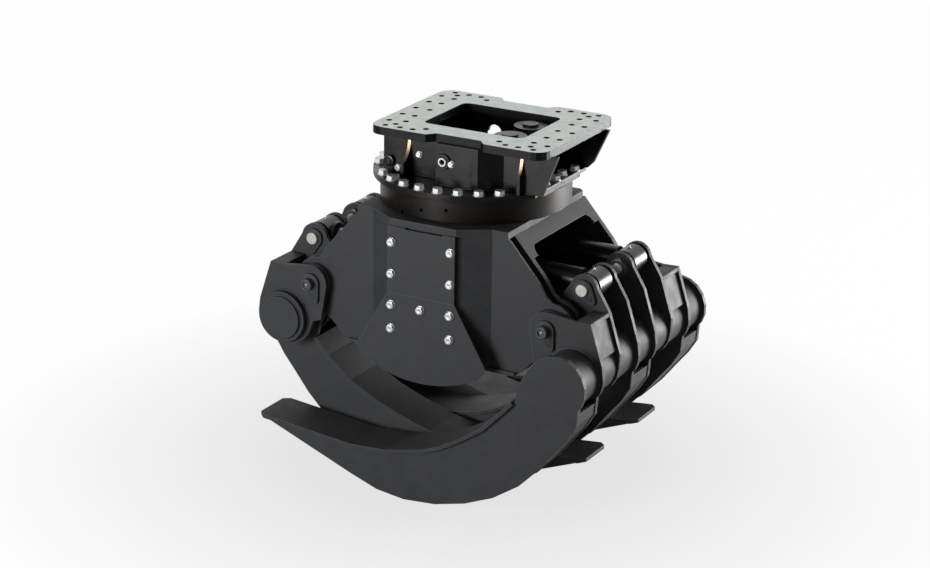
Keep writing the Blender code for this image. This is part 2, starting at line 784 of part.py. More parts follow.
def build_housing():
    """Folded front housing, its bolted cover and the fan-shaped guard below."""
    front = flange_front_y
    nose = front - cover_stand
    t = housing_t
    wing = housing_wing_y
    reach = pivot_half_span + hub_r + overrun
    line = [(-reach, -wing), (-flange_shoulder_half, -wing), (-flange_front_half, -nose),
            (flange_front_half, -nose), (flange_shoulder_half, -wing), (reach, -wing)]
    inner_line = offset_line(line, t)
    bm = bmesh.new()
    add_slab(bm, line + inner_line[::-1], [], -belly_z, rotor_flange_under - gap, "Z")
    housing = make("front_housing", bm, "frame", body)
    profile = bmesh.new()
    add_slab(profile, side_outline(), [], -front - overrun, -side_plate_y)
    cut(housing, profile, "housing_profile", body, "INTERSECT")
    holes = bmesh.new()
    for x in (-pivot_half_span, pivot_half_span):
        add_disc(holes, boss_r + gap, wing - t - overrun, wing + overrun, along_y(x, 0, 0))
    cut(housing, holes, "housing_boss_holes", body)

    face = -front - gap
    back = face - cover_t
    top = rotor_flange_under - gap
    half = flange_front_half
    slot = cover_slot_depth
    outline = [(-half, cover_foot_z), (half, cover_foot_z), (half, top), (cover_slot_right, top),
               (cover_slot_right, top - slot), (-cover_slot_left, top - slot),
               (-cover_slot_left, top), (-half, top)]
    bm = bmesh.new()
    add_slab(bm, outline, [], back, face)
    cover = make("front_cover", bm, "frame", body)
    bolts = bmesh.new()
    for x in (-cover_bolt_x, cover_bolt_x):
        for z in cover_bolt_z[:2]:
            add_cover_bolt(bolts, x, z, back)
    cut(cover, bolts, "cover_bolts", body, "UNION")

    foot = cover_foot_z - gap
    sag = fan_drop - fan_corner_z
    arc_r = (fan_half * fan_half + sag * sag) / (2 * sag)
    swing = math.degrees(math.asin(fan_half / arc_r))
    bottom = arc(0, arc_r - fan_drop, arc_r, 270 - swing, 270 + swing, 14)
    r = fan_corner_r
    outline = [(-half, foot), (-fan_half, -fan_corner_z + r)] + bottom[1:-1]
    outline += [(fan_half, -fan_corner_z + r), (half, foot)]
    bm = bmesh.new()
    add_slab(bm, outline, [], back, face)
    guard = make("front_guard", bm, "frame", body)
    bolts = bmesh.new()
    for x, z in ((-cover_bolt_x, cover_bolt_z[2]), (cover_bolt_x, cover_bolt_z[2]),
                 (0, cover_bolt_z[2]), (-cover_bolt_x, cover_bolt_z[3]),
                 (cover_bolt_x, cover_bolt_z[3])):
        add_cover_bolt(bolts, x, z, back)
    cut(guard, bolts, "guard_bolts", body, "UNION")

    lip = bottom_lip
    outline = [(-bottom_half_x, -wing - lip), (bottom_half_x, -wing - lip),
               (bottom_half_x, side_plate_y + lip), (-bottom_half_x, side_plate_y + lip)]
    bm = bmesh.new()
    add_slab(bm, outline, [], -belly_z - gap - bottom_t, -belly_z - gap, "Z")
    make("bottom_plate", bm, "frame", body)


def add_cover_bolt(bm, x, z, face):
    """Bolt head before the plate and its spacer behind."""
    place = along_y(x, 0, z)
    add_hex(bm, cover_bolt_af, -face - weld_sink, -face + cover_bolt_h, place)
    back = flange_front_y + gap
    add_disc(bm, cover_spacer_r, back - cover_stand, back + weld_sink, place, pin_sides)


build_rotor_top()
build_side_plates()
build_cross_plates()
build_housing()


# Jaws. Outlines are in the jaw's own frame: x outwards from its pivot, z up
def outer_side():
    """Outer edge shared by cheeks and ears, from beside the tube up to the corner."""
    return [(cheek_hip_x, cheek_hip_z), (cheek_corner_x, cheek_corner_z)]


def cheek_top():
    line = [(cheek_top_x, cheek_top_z)]
    return line + arc(0, 0, cheek_hub_r, 80, 190, 8)


def ear_top(reaches_pivot):
    """Round the cylinder pin; an outer ear also takes the jaw's pivot pin."""
    line = arc(ear_pin_x, ear_pin_z, ear_r, 10, 170, 9)
    if reaches_pivot:
        return line + arc(0, 0, cheek_hub_r, 135, 235, 7)
    return line + [(ear_waist_x, ear_waist_z)]


def root_round(start, end, steps=8, r=root_r):
    return arc(tube_x, tube_z, r, start, end, steps)


def face_line(shares):
    return [(-reach * tine_reach, -depth * tine_depth) for reach, depth in shares]


def back_line():
    return [(-reach * tine_reach, -depth * tine_depth) for reach, depth in back_share]


def tine_side(shares, skin_gap):
    """Side plate below the root: out under the face skin and home along the back."""
    back = back_line()
    under = offset_line(face_line(shares), skin_t + skin_gap)
    before, last = under[-2:]
    end_x = back[-1][0] + tine_end_inset
    share = (end_x - before[0]) / (last[0] - before[0])
    return under[:-1] + [along(before, last, share)] + back[::-1]


def in_jaw(side, points):
    return [(side * x, z) for x, z in points]


def add_jaw_plate(name, side, outline, y, pins, frame):
    """Plate centred on Y with holes for the torque tube and the given pins."""
    holes = [circle(side * tube_x, tube_z, tube_r + gap)]
    for x, z, r in pins:
        holes.append(circle(side * x, z, r + gap, pin_sides))
    bm = bmesh.new()
    add_slab(bm, in_jaw(side, outline), holes, y - plate_t / 2, y + plate_t / 2)
    return make(name, bm, "frame", frame)


def build_tine(name, shares, side, y, fused, frame):
    """One tine: wide face skin, back skin, and the side plates that only this tine has."""
    face = face_line(shares)
    under = offset_line(face, skin_t)
    tip = face[-1]
    chamfer = skin_half_w - skin_tip_half_w
    bm = bmesh.new()
    add_slab(bm, in_jaw(side, face + under[::-1]), [], y - skin_half_w, y + skin_half_w)
    tine = make(name, bm, "frame", frame)

    corners = bmesh.new()
    for edge in (-1, 1):
        start = y + edge * (skin_half_w + overrun)
        inner = y + edge * (skin_tip_half_w - overrun)
        triangle = [(tip[0] + chamfer + overrun, start), (tip[0] - overrun, inner),
                    (tip[0] - overrun, start)]
        triangle = [(side * a, b) for a, b in triangle]
        add_slab(corners, triangle, [], tip[1] - 2 * skin_t, tip[1] + skin_t, "Z")
    cut(tine, corners, name + "_corners", frame)

    back = back_line()
    back[0] = along(back[0], back[1], back_start_share)
    outer_back = offset_line(back, -back_inset)
    inner_back = offset_line(back, -back_inset - back_t)
    mid_tip = (tip[0] + back_inset, tip[1] - skin_t / 2)
    half = (plate_pitch - plate_t) / 2
    low = y - half - (weld_sink if -1 in fused else -gap)
    high = y + half + (weld_sink if 1 in fused else -gap)
    back_skin = bmesh.new()
    outline = outer_back + [mid_tip] + inner_back[::-1]
    add_slab(back_skin, in_jaw(side, outline), [], low, high)
    cut(tine, back_skin, name + "_back_skin", frame, "UNION")

    if side > 0:
        root = root_round(-30, 125) + [(-x, -z) for x, z in tine_throat]
        hole = []
    else:
        root = root_round(-30, 205)
        hole = [circle(side * tube_x, tube_z, tube_r + gap)]
    outline = root + tine_side(shares, -weld_sink)
    for edge in fused:
        middle = y + edge * plate_pitch / 2
        plate = bmesh.new()
        add_slab(plate, in_jaw(side, outline), hole, middle - plate_t / 2, middle + plate_t / 2)
        cut(tine, plate, name + ("_rear_side" if edge > 0 else "_front_side"), frame, "UNION")


def build_torque_tube(name, side, frame):
    """The right tube ends inside the outer tine plates, the left one in capped ends."""
    if side > 0:
        end = cheek_y + plate_pitch - plate_t / 2 - gap
        half = [(tube_r, end), (tube_r - tube_wall, end)]
    else:
        end = cheek_y + plate_t / 2 + tube_stand
        cap = end + tube_cap_t
        half = [(tube_r, end), (tube_cap_r, end), (tube_cap_r, cap), (tube_drain_r, cap),
                (tube_drain_r, end - tube_wall), (tube_r - tube_wall, end - tube_wall)]
    profile = half + [(r, -h) for r, h in half[::-1]]
    bm = bmesh.new()
    add_turned(bm, profile, along_y(side * tube_x, 0, tube_z), closed=True)
    make(name, bm, "frame", frame, smooth=True)


def build_box_plate(name, side, front, frame):
    """Plate that closes the box between a cheek and the outer ear beside it."""
    hip, corner = outer_side()
    foot = along(hip, corner, box_right_foot_share if side > 0 else box_foot_share)
    line = [foot, corner, (cheek_top_x, cheek_top_z)]
    outer = offset_line(line, box_inset)
    inner = offset_line(line, box_inset + box_t)
    near = outer_ear_y + plate_t / 2 + gap
    far = cheek_y - plate_t / 2 - gap
    low, high = sorted((front * near, front * far))
    bm = bmesh.new()
    add_slab(bm, in_jaw(side, outer + inner[::-1]), [], low, high)
    make(name, bm, "plate", frame)


def teardrop(x, z, r, reach, toe_r, heading):
    """Outline of a locking flag: a round on the pin and a smaller one at its screw."""
    lean = math.degrees(math.acos((r - toe_r) / reach))
    turn = math.radians(heading)
    toe_x = x + reach * math.cos(turn)
    toe_z = z + reach * math.sin(turn)
    return (arc(x, z, r, heading + lean, heading + 360 - lean, 9)
            + arc(toe_x, toe_z, toe_r, heading - lean, heading + lean, 4))


def build_pin(name, side, front, sizes, flag, nut, frame):
    """Pin from inside to outside along Y, with a locking flag and sometimes a nut."""
    x, z, r, stub_r, inner, seat, end = sizes
    place = along_y(side * x, 0, z)
    flag_face = seat + gap + flag_t
    points = [(0, inner), (r, inner), (r, seat + gap + weld_sink), (stub_r, seat + gap + weld_sink),
              (stub_r, end - pin_chamfer), (stub_r - pin_chamfer, end), (0, end)]
    points = [(a, -front * b) for a, b in points]
    if front > 0:
        points.reverse()
    bm = bmesh.new()
    add_turned(bm, points, place, pin_sides)
    pin = make(name, bm, "steel", frame, smooth=True)
    plate = bmesh.new()
    low, high = sorted((front * (seat + gap), front * flag_face))
    add_slab(plate, in_jaw(side, teardrop(x, z, *flag)), [], low, high)
    cut(pin, plate, name + "_flag", frame, "UNION")
    if nut:
        hexagon = bmesh.new()
        nut_low, nut_high = sorted((-front * inner, -front * (inner + ear_nut_t)))
        add_hex(hexagon, ear_nut_af, nut_low, nut_high, place)
        cut(pin, hexagon, name + "_nut", frame, "UNION")
        thread = bmesh.new()
        low, high = sorted((-front * (inner + weld_sink), -front * (inner - ear_thread_end)))
        add_disc(thread, ear_thread_r, low, high, place, pin_sides)
        cut(pin, thread, name + "_thread", frame, "UNION")


def build_jaw(prefix, side):
    pivot = empty(prefix + "_jaw_axis", (side * pivot_half_span, 0, z_pivot), rotor)
    shares = right_face_share if side > 0 else left_face_share
    pivot_hole = (0, 0, pin_r)
    ear_hole = (ear_pin_x, ear_pin_z, ear_pin_r)
    build_torque_tube(prefix + "_torque_tube", side, pivot)
    step = root_round(-30, 0, 3)
    for name, front in (("front", -1), ("rear", 1)):
        base = prefix + "_" + name
        if side > 0:
            heel = [(-x, -z) for x, z in cheek_throat]
            outline = step + outer_side() + cheek_top() + heel + tine_side(shares, gap)
        else:
            outline = (outer_side() + cheek_top() + [(-x, -z) for x, z in cheek_heel]
                       + root_round(205, 360))
        add_jaw_plate(base + "_cheek", side, outline, front * cheek_y, [pivot_hole], pivot)
        outline = outer_side() + ear_top(True) + root_round(190, 360, r=ear_root_r)
        add_jaw_plate(base + "_outer_ear", side, outline, front * outer_ear_y,
                      [pivot_hole, ear_hole], pivot)
        if side > 0:
            heel = [(-x, -z) for x, z in ear_throat]
            outline = step + outer_side() + ear_top(False) + heel + tine_side(shares, gap)
        else:
            outline = outer_side() + ear_top(False) + root_round(170, 360)
        add_jaw_plate(base + "_inner_ear", side, outline, front * inner_ear_y, [ear_hole], pivot)
        build_box_plate(base + "_box_plate", side, front, pivot)

        seat = cheek_y + plate_t / 2
        sizes = (0, 0, pin_r, pin_stub_r, outer_ear_y - plate_t / 2 - gap, seat,
                 seat + pin_stand_out)
        build_pin(base + "_pivot_pin", side, front, sizes,
                  (flag_r, flag_reach, flag_toe_r, -60), False, pivot)
        seat = outer_ear_y + plate_t / 2
        sizes = (ear_pin_x, ear_pin_z, ear_pin_r, ear_stub_r,
                 inner_ear_y - plate_t / 2 - gap - ear_nut_t, seat, seat + ear_pin_stand_out)
        build_pin(base + "_ear_pin", side, front, sizes,
                  (ear_flag_r, ear_flag_reach, flag_toe_r, -130), True, pivot)
    if side > 0:
        tines = (("front", -3 * plate_pitch, (-1,)), ("middle", 0, ()),
                 ("rear", 3 * plate_pitch, (1,)))
    else:
        tines = (("front", -1.5 * plate_pitch, (-1, 1)), ("rear", 1.5 * plate_pitch, (-1, 1)))
    for name, y, fused in tines:
        build_tine(prefix + "_" + name + "_tine", shares, side, y, fused, pivot)
    return pivot


right_pivot = build_jaw("right", 1)
left_pivot = build_jaw("left", -1)


# Cylinders: barrel eye on the right jaw, rod eye on the left jaw
def build_cylinders():
    turn = math.radians(jaw_opening_deg)
    open_half = pivot_half_span + ear_pin_x * math.cos(turn) - ear_pin_z * math.sin(turn)
    open_length = 2 * open_half
    gland_face = open_length - eye_r - gland_clear
    barrel_end = gland_face - gland_t
    floor = eye_r + barrel_end_t
    rod_end = open_length - floor - gland_clear
    for name, front in (("front", -1), ("rear", 1)):
        y = front * plate_pitch
        eye_at = empty(name + "_barrel_axis", (ear_pin_x, y, ear_pin_z), right_pivot)
        towards = Matrix.Rotation(-math.pi / 2, 4, "Y")
        profile = [(0, eye_root), (barrel_r, eye_root), (barrel_r, barrel_end - gap),
                   (bore_r, barrel_end - gap), (bore_r, floor), (0, floor)]
        bm = bmesh.new()
        add_turned(bm, profile, towards)
        barrel = make(name + "_barrel", bm, "gloss", eye_at, smooth=True)
        add_eye(barrel, name + "_barrel_eye", eye_at)

        inside = barrel_end - gland_spigot
        profile = [(rod_r + gap, gland_face), (gland_r - gland_chamfer, gland_face),
                   (gland_r, gland_face - gland_chamfer), (gland_r, barrel_end),
                   (bore_r - gap, barrel_end), (bore_r - gap, inside), (rod_r + gap, inside)]
        bm = bmesh.new()
        add_turned(bm, profile[::-1], towards, closed=True)
        make(name + "_gland", bm, "gloss", eye_at, smooth=True)

        eye_at = empty(name + "_rod_axis", (-ear_pin_x, y, ear_pin_z), left_pivot)
        away = Matrix.Rotation(math.pi / 2, 4, "Y")
        neck = eye_r + eye_neck
        piston = rod_end - piston_t
        middle = rod_end - piston_t / 2
        r = bore_r - gap
        profile = [(0, eye_root), (barrel_r, eye_root), (barrel_r, neck - eye_neck / 2),
                   (rod_r, neck), (rod_r, piston), (r, piston), (r, middle - seal_w),
                   (r - seal_depth, middle - seal_w), (r - seal_depth, middle + seal_w),
                   (r, middle + seal_w), (r, rod_end), (0, rod_end)]
        bm = bmesh.new()
        add_turned(bm, profile, away)
        rod = make(name + "_rod", bm, "chrome", eye_at, smooth=True)
        add_eye(rod, name + "_rod_eye", eye_at)


def add_eye(obj, name, parent):
    half = eye_w / 2
    eye = bmesh.new()
    add_disc(eye, eye_r, -half, half, along_y(0, 0, 0))
    cut(obj, eye, name, parent, "UNION")
    bore = bmesh.new()
    add_disc(bore, bore_for(ear_pin_r), -half - overrun, half + overrun, along_y(0, 0, 0))
    cut(obj, bore, name + "_bore", parent)


build_cylinders()
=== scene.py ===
import math

import bmesh
import bpy
from mathutils import Matrix, Vector


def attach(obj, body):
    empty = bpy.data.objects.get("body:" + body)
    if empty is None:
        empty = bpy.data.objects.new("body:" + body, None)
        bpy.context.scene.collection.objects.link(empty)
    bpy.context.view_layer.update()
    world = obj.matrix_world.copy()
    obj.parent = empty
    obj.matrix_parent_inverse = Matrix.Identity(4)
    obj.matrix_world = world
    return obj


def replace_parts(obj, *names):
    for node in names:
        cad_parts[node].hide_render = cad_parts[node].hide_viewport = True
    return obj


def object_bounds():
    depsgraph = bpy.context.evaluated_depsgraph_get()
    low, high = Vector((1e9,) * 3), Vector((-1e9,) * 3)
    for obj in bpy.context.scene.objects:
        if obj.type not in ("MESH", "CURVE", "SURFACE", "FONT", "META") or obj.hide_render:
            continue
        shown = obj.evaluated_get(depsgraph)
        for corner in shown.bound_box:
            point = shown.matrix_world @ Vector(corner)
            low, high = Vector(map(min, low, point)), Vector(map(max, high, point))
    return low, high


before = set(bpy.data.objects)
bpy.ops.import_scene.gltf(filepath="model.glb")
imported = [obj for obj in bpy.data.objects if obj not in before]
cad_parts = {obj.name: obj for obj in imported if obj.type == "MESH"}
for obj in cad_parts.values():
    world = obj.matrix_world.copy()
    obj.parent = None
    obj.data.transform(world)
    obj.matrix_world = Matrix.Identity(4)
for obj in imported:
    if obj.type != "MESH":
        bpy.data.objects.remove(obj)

# Hydraulic log grapple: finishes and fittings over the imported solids, in metres
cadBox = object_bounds()
print("frame loaded:", len(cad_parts), "nodes")

millimetre = 0.001

# The share of a noise's range that makes its patches: soft clouds, uneven gloss, relief
cloudSpread = (0.35, 0.65)
glossSpread = (0.3, 0.7)
reliefSpread = (0.2, 0.8)
bevelSamples = 6


def linear(code):
    # sRGB hex to the linear values that shaders use
    channels = [int(code[i:i + 2], 16) / 255 for i in (1, 3, 5)]
    return tuple(c / 12.92 if c <= 0.04045 else ((c + 0.055) / 1.055) ** 2.4
                 for c in channels) + (1,)


def addNode(tree, kind, links=None, **settings):
    # links: socket name or index to a value, a socket, or a node whose first output is meant
    node = tree.nodes.new(kind)
    for name, value in settings.items():
        setattr(node, name, value)
    for socket, source in (links or {}).items():
        if isinstance(source, bpy.types.Node):
            source = source.outputs[0]
        if isinstance(source, bpy.types.NodeSocket):
            tree.links.new(source, node.inputs[socket])
        else:
            node.inputs[socket].default_value = source
    return node


def newMaterial(name, metallic=0.0, ior=None, specular=0.5):
    material = bpy.data.materials.new(name)
    material.use_nodes = True
    tree = material.node_tree
    shader = tree.nodes["Principled BSDF"]
    shader.inputs["Metallic"].default_value = metallic
    shader.inputs["Specular IOR Level"].default_value = specular
    if ior:
        shader.inputs["IOR"].default_value = ior
    return material, tree, shader, addNode(tree, "ShaderNodeTexCoord").outputs["Object"]


def patches(tree, place, size, spread=cloudSpread, levels=(0.0, 1.0), detail=3.0):
    # Soft patches of a real size, as a share that runs between the two levels
    noise = addNode(tree, "ShaderNodeTexNoise", {
        "Vector": place, "Scale": 1 / size, "Detail": detail, "Roughness": 0.6})
    return addNode(tree, "ShaderNodeMapRange", {
        "Value": noise, "From Min": spread[0], "From Max": spread[1],
        "To Min": levels[0], "To Max": levels[1]})


def wearAndHighlightShare(tree, rounded):
    # 1 on outside corners, which are drawn lighter: partly where a coat thins and handling polishes
    # it, partly painted highlight
    surface = addNode(tree, "ShaderNodeNewGeometry")
    angle = addNode(tree, "ShaderNodeVectorMath", {
        0: rounded, 1: surface.outputs["Normal"]}, operation="DOT_PRODUCT")
    fall = addNode(tree, "ShaderNodeMath", {
        0: 1.0, 1: angle.outputs["Value"]}, operation="SUBTRACT")
    return addNode(tree, "ShaderNodeMapRange", {
        "Value": fall, "From Min": 0.02, "From Max": 0.22})


def surfaceOf(tree, shader, colour, roughness, height, normal, bump, depth):
    # Colour, roughness and relief onto the shader
    tree.links.new(colour, shader.inputs["Base Color"])
    tree.links.new(roughness.outputs[0], shader.inputs["Roughness"])
    relief = addNode(tree, "ShaderNodeBump", {
        "Height": height, "Normal": normal, "Strength": bump, "Distance": depth})
    tree.links.new(relief.outputs[0], shader.inputs["Normal"])


def makeFinish(spec):
    # Two tones in soft clouds, a third, lighter one on outside corners that is partly wear and
    # partly painted highlight, cloudy gloss and a fine relief
    material, tree, shader, place = newMaterial(
        spec["name"], spec.get("metal", 0.0), spec.get("ior"), spec.get("specular", 0.5))
    fine = place
    if "stretch" in spec:
        fine = addNode(tree, "ShaderNodeMapping", {"Vector": place, "Scale": spec["stretch"]})
    rounded = addNode(tree, "ShaderNodeBevel", {"Radius": spec["edge"]}, samples=bevelSamples)
    clouds = patches(tree, place, spec["cloudSize"], spec.get("cloudSpread", cloudSpread))
    tone = addNode(tree, "ShaderNodeMix", {
        0: clouds, 6: linear(spec["colour"]), 7: linear(spec["cloud"])}, data_type="RGBA")
    # The third tone: outside corners lighter, partly wear and partly painted highlight
    if "wearAndHighlight" in spec:
        tone = addNode(tree, "ShaderNodeMix", {
            0: wearAndHighlightShare(tree, rounded), 6: tone.outputs[2], 7: linear(spec["wearAndHighlight"])},
            data_type="RGBA")
    gloss = patches(tree, fine, spec.get("glossSize", spec["cloudSize"]), glossSpread,
                    spec["roughness"])
    grain = patches(tree, fine, spec["grain"], reliefSpread, detail=spec.get("grainDetail", 3.0))
    surfaceOf(tree, shader, tone.outputs[2], gloss, grain, rounded, spec["bump"], spec["depth"])
    return material


# Polyester powder coat, sprayed and baked: a dry satin grey-black with a fine leathery grain.
# The real grain is about 0.5 mm; it is drawn at 2.4 mm so that it shows
powderCoatSpec = {
    # The third tone is for outside corners: partly wear, partly painted highlight
    "name": "polyesterPowderCoat", "colour": "#37383a", "cloud": "#3e3f41", "wearAndHighlight": "#83868b",
    "cloudSize": 60 * millimetre, "roughness": (0.52, 0.66), "grain": 2.4 * millimetre,
    "edge": 2.4 * millimetre, "bump": 0.75, "depth": 0.4 * millimetre,
    "ior": 1.48, "specular": 0.45,
}
# Two-pack enamel, sprayed wet: deep warm black with soft reflections over orange peel
enamelSpec = {
    # The third tone is for outside corners: partly wear, partly painted highlight
    "name": "twoPackEnamelBlack", "colour": "#121110", "cloud": "#1c1a18", "wearAndHighlight": "#2e2b28",
    "cloudSize": 70 * millimetre, "cloudSpread": (0.4, 0.7), "roughness": (0.24, 0.38),
    "grain": 7 * millimetre, "grainDetail": 1.0, "edge": 1.6 * millimetre, "bump": 0.10,
    "depth": 0.5 * millimetre, "ior": 1.5, "specular": 0.4,
}
# Phosphated bearing steel, turned and oiled: warm brown-black with hair-fine rings
raceSpec = {
    "name": "phosphatedBearingSteel", "colour": "#1a1613", "cloud": "#231d19",
    # The third tone is for outside corners: partly wear, partly painted highlight
    "wearAndHighlight": "#4c453f", "cloudSize": 55 * millimetre, "roughness": (0.28, 0.42),
    "glossSize": 3 * millimetre, "grain": 3 * millimetre, "grainDetail": 2.0,
    "stretch": (0.05, 0.05, 1), "edge": 1.5 * millimetre, "bump": 0.10,
    "depth": 0.2 * millimetre, "metal": 0.45,
}
# Bare metal: the clouds stand for what the making left, such as plating bloom or polishing
bareMetal = {
    "grain": 1.8 * millimetre, "edge": 0.8 * millimetre, "bump": 0.08,
    "depth": 0.15 * millimetre, "metal": 1.0,
}
# Zinc plate: silvery, slightly cloudy bolts
zincSpec = {
    **bareMetal, "name": "zincPlatedSteel", "colour": "#eeeff0", "cloud": "#d6d9db",
    "cloudSize": 9 * millimetre, "roughness": (0.32, 0.46), "metal": 0.6,
}
# Hobbed and oiled gear steel: mid grey, half dull
gearSpec = {
    **bareMetal, "name": "hobbedGearSteel", "colour": "#8d8f91", "cloud": "#6c6a66",
    "cloudSize": 12 * millimetre, "roughness": (0.30, 0.45),
}
# Turned pin ends, left bare: pale grey with a dull bloom
turnedSpec = {
    **bareMetal, "name": "turnedPinSteel", "colour": "#dddad4", "cloud": "#c3c0ba",
    "cloudSize": 7 * millimetre, "roughness": (0.42, 0.56), "metal": 0.7,
}
# Black-oxide nuts and collars: dark, oily, with bright catches on the edges
oxideSpec = {
    **bareMetal, "name": "blackOxideSteel", "colour": "#6c6d6f", "cloud": "#505153",
    "cloudSize": 10 * millimetre, "roughness": (0.30, 0.44), "metal": 0.5,
}
# Flame-cut gusset edge, ground bright under lacquer, drawn as a thin tan strip that is partly the
# bare edge and partly painted highlight
cutEdgeHighlightSpec = {
    **bareMetal, "name": "groundCutEdgeAndHighlight", "colour": "#d9c1a6", "cloud": "#b89c80",
    "cloudSize": 5 * millimetre, "roughness": (0.40, 0.55),
}
# Painted shade for a drilled bore: a near-black finish on a shallow disc that stands in for the
# dark inside the hole
boreSpec = {
    **bareMetal, "name": "boredHoleSteel", "colour": "#0c0c0c", "cloud": "#080808",
    "cloudSize": 6 * millimetre, "roughness": (0.6, 0.8),
}
plateSpec = {
    "name": "groundSteelPlate", "top": "#d3d9d5", "cloud": "#c0c6c2", "speck": "#e4e8e5",
    # side: near black, partly the sides' own paint and partly painted shade; rim: outside corners,
    # partly wear and partly painted highlight
    "side": "#0d0e0e", "rim": "#5a5d5b", "specular": 0.25, "metal": 0.75,
    "flat": (0.55, 0.8), "cloudSize": 45 * millimetre, "cloudSpread": (0.35, 0.68),
    "cloudDetail": 4.0, "speckSize": 3 * millimetre, "speckSpread": (0.55, 0.8),
    "speckLevels": (0.0, 0.5), "speckDetail": 2.0, "markSize": 4 * millimetre,
    "markStretch": (0.06, 1, 1), "markDetail": 2.0, "roughness": (0.36, 0.52),
    "edge": 1.5 * millimetre, "bump": 0.12, "depth": 0.3 * millimetre,
}


def makePlateSteel():
    # Ground steel plate under a thin clear primer: pale face with faint grinding lines, and
    # flame-cut sides drawn near black, partly their own dark paint and partly painted shade.
    # Outside corners are lighter, partly wear and partly painted highlight
    spec = plateSpec
    material, tree, shader, place = newMaterial(spec["name"], specular=spec["specular"])
    surface = addNode(tree, "ShaderNodeNewGeometry")
    up = addNode(tree, "ShaderNodeSeparateXYZ", {0: surface.outputs["True Normal"]})
    flat = addNode(tree, "ShaderNodeMapRange", {
        "Value": up.outputs["Z"], "From Min": spec["flat"][0], "From Max": spec["flat"][1]})
    clouds = patches(tree, place, spec["cloudSize"], spec["cloudSpread"],
                     detail=spec["cloudDetail"])
    face = addNode(tree, "ShaderNodeMix", {
        0: clouds, 6: linear(spec["top"]), 7: linear(spec["cloud"])}, data_type="RGBA")
    specks = patches(tree, place, spec["speckSize"], spec["speckSpread"], spec["speckLevels"],
                     spec["speckDetail"])
    face = addNode(tree, "ShaderNodeMix", {
        0: specks, 6: face.outputs[2], 7: linear(spec["speck"])}, data_type="RGBA")
    # Sides near black by their slope: partly their own paint, partly painted shade
    tone = addNode(tree, "ShaderNodeMix", {
        0: flat, 6: linear(spec["side"]), 7: face.outputs[2]}, data_type="RGBA")
    rounded = addNode(tree, "ShaderNodeBevel", {"Radius": spec["edge"]}, samples=bevelSamples)
    # Outside corners lighter: partly wear, partly painted highlight
    tone = addNode(tree, "ShaderNodeMix", {
        0: wearAndHighlightShare(tree, rounded), 6: tone.outputs[2], 7: linear(spec["rim"])},
        data_type="RGBA")
    metal = addNode(tree, "ShaderNodeMath", {0: flat, 1: spec["metal"]}, operation="MULTIPLY")
    tree.links.new(metal.outputs[0], shader.inputs["Metallic"])
    lines = addNode(tree, "ShaderNodeMapping", {"Vector": place, "Scale": spec["markStretch"]})
    gloss = patches(tree, lines, spec["markSize"], glossSpread, spec["roughness"])
    marks = patches(tree, lines, spec["markSize"], glossSpread, detail=spec["markDetail"])
    surfaceOf(tree, shader, tone.outputs[2], gloss, marks, rounded, spec["bump"], spec["depth"])
    return material


rodSpec = {
    "name": "hardChromeRod", "chrome": "#d4d7da", "haze": "#bfc3c8", "eye": "#131211",
    "eyeEnd": -0.459, "blend": 1 * millimetre, "hazeSize": 50 * millimetre,
    "polish": (0.07, 0.14), "paint": (0.30, 0.42), "paintSize": 60 * millimetre,
    "grain": 6 * millimetre, "edge": 0.8 * millimetre, "bump": 0.03, "depth": 0.2 * millimetre,
}


def makeRodFinish():
    # Hard chrome on the ground rod, near-mirror; the forged eye and neck behind it are enamelled
    spec = rodSpec
    material, tree, shader, place = newMaterial(spec["name"])
    along = addNode(tree, "ShaderNodeSeparateXYZ", {0: place})
    bare = addNode(tree, "ShaderNodeMapRange", {
        "Value": along.outputs["X"], "From Min": spec["eyeEnd"] - spec["blend"],
        "From Max": spec["eyeEnd"] + spec["blend"]})
    chrome = addNode(tree, "ShaderNodeMix", {
        0: patches(tree, place, spec["hazeSize"]), 6: linear(spec["chrome"]),
        7: linear(spec["haze"])}, data_type="RGBA")
    tone = addNode(tree, "ShaderNodeMix", {
        0: bare, 6: linear(spec["eye"]), 7: chrome.outputs[2]}, data_type="RGBA")
    tree.links.new(bare.outputs[0], shader.inputs["Metallic"])
    gloss = addNode(tree, "ShaderNodeMix", {
        0: bare, 2: patches(tree, place, spec["paintSize"], glossSpread, spec["paint"]),
        3: patches(tree, place, spec["hazeSize"], glossSpread, spec["polish"])},
        data_type="FLOAT")
    rounded = addNode(tree, "ShaderNodeBevel", {"Radius": spec["edge"]}, samples=bevelSamples)
    surfaceOf(tree, shader, tone.outputs[2], gloss,
              patches(tree, place, spec["grain"], reliefSpread), rounded, spec["bump"],
              spec["depth"])
    return material


powderCoat = makeFinish(powderCoatSpec)
enamel = makeFinish(enamelSpec)
plateSteel = makePlateSteel()
raceSteel = makeFinish(raceSpec)
rodFinish = makeRodFinish()
zincSteel = makeFinish(zincSpec)
gearSteel = makeFinish(gearSpec)
turnedSteel = makeFinish(turnedSpec)
blackOxide = makeFinish(oxideSpec)
cutEdgeAndHighlight = makeFinish(cutEdgeHighlightSpec)
shadowSteel = makeFinish(boreSpec)
print("finishes made")

finishOfNode = {
    "mounting_plate": plateSteel, "slew_outer_race": raceSteel, "slew_ring_gear": gearSteel,
    "front_pinion": gearSteel, "rear_pinion": gearSteel, "swivel_housing": gearSteel,
    "swivel_spindle": gearSteel, "front_rod": rodFinish, "rear_rod": rodFinish,
}
enamelNodes = ("head_front_wall", "head_rear_wall", "head_end_wall", "base_flange",
               "front_slew_motor", "rear_slew_motor", "front_barrel", "rear_barrel",
               "front_gland", "rear_gland")
for name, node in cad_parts.items():
    finish = finishOfNode.get(name, enamel if name in enamelNodes else powderCoat)
    if not node.material_slots:
        node.data.materials.append(finish)
    for entry in node.material_slots:
        entry.material = finish
print("nodes finished")

# Edges that turn by more than this, in degrees, stay crisp
turnedCrease = 32
plateCrease = 28
boltCrease = 24


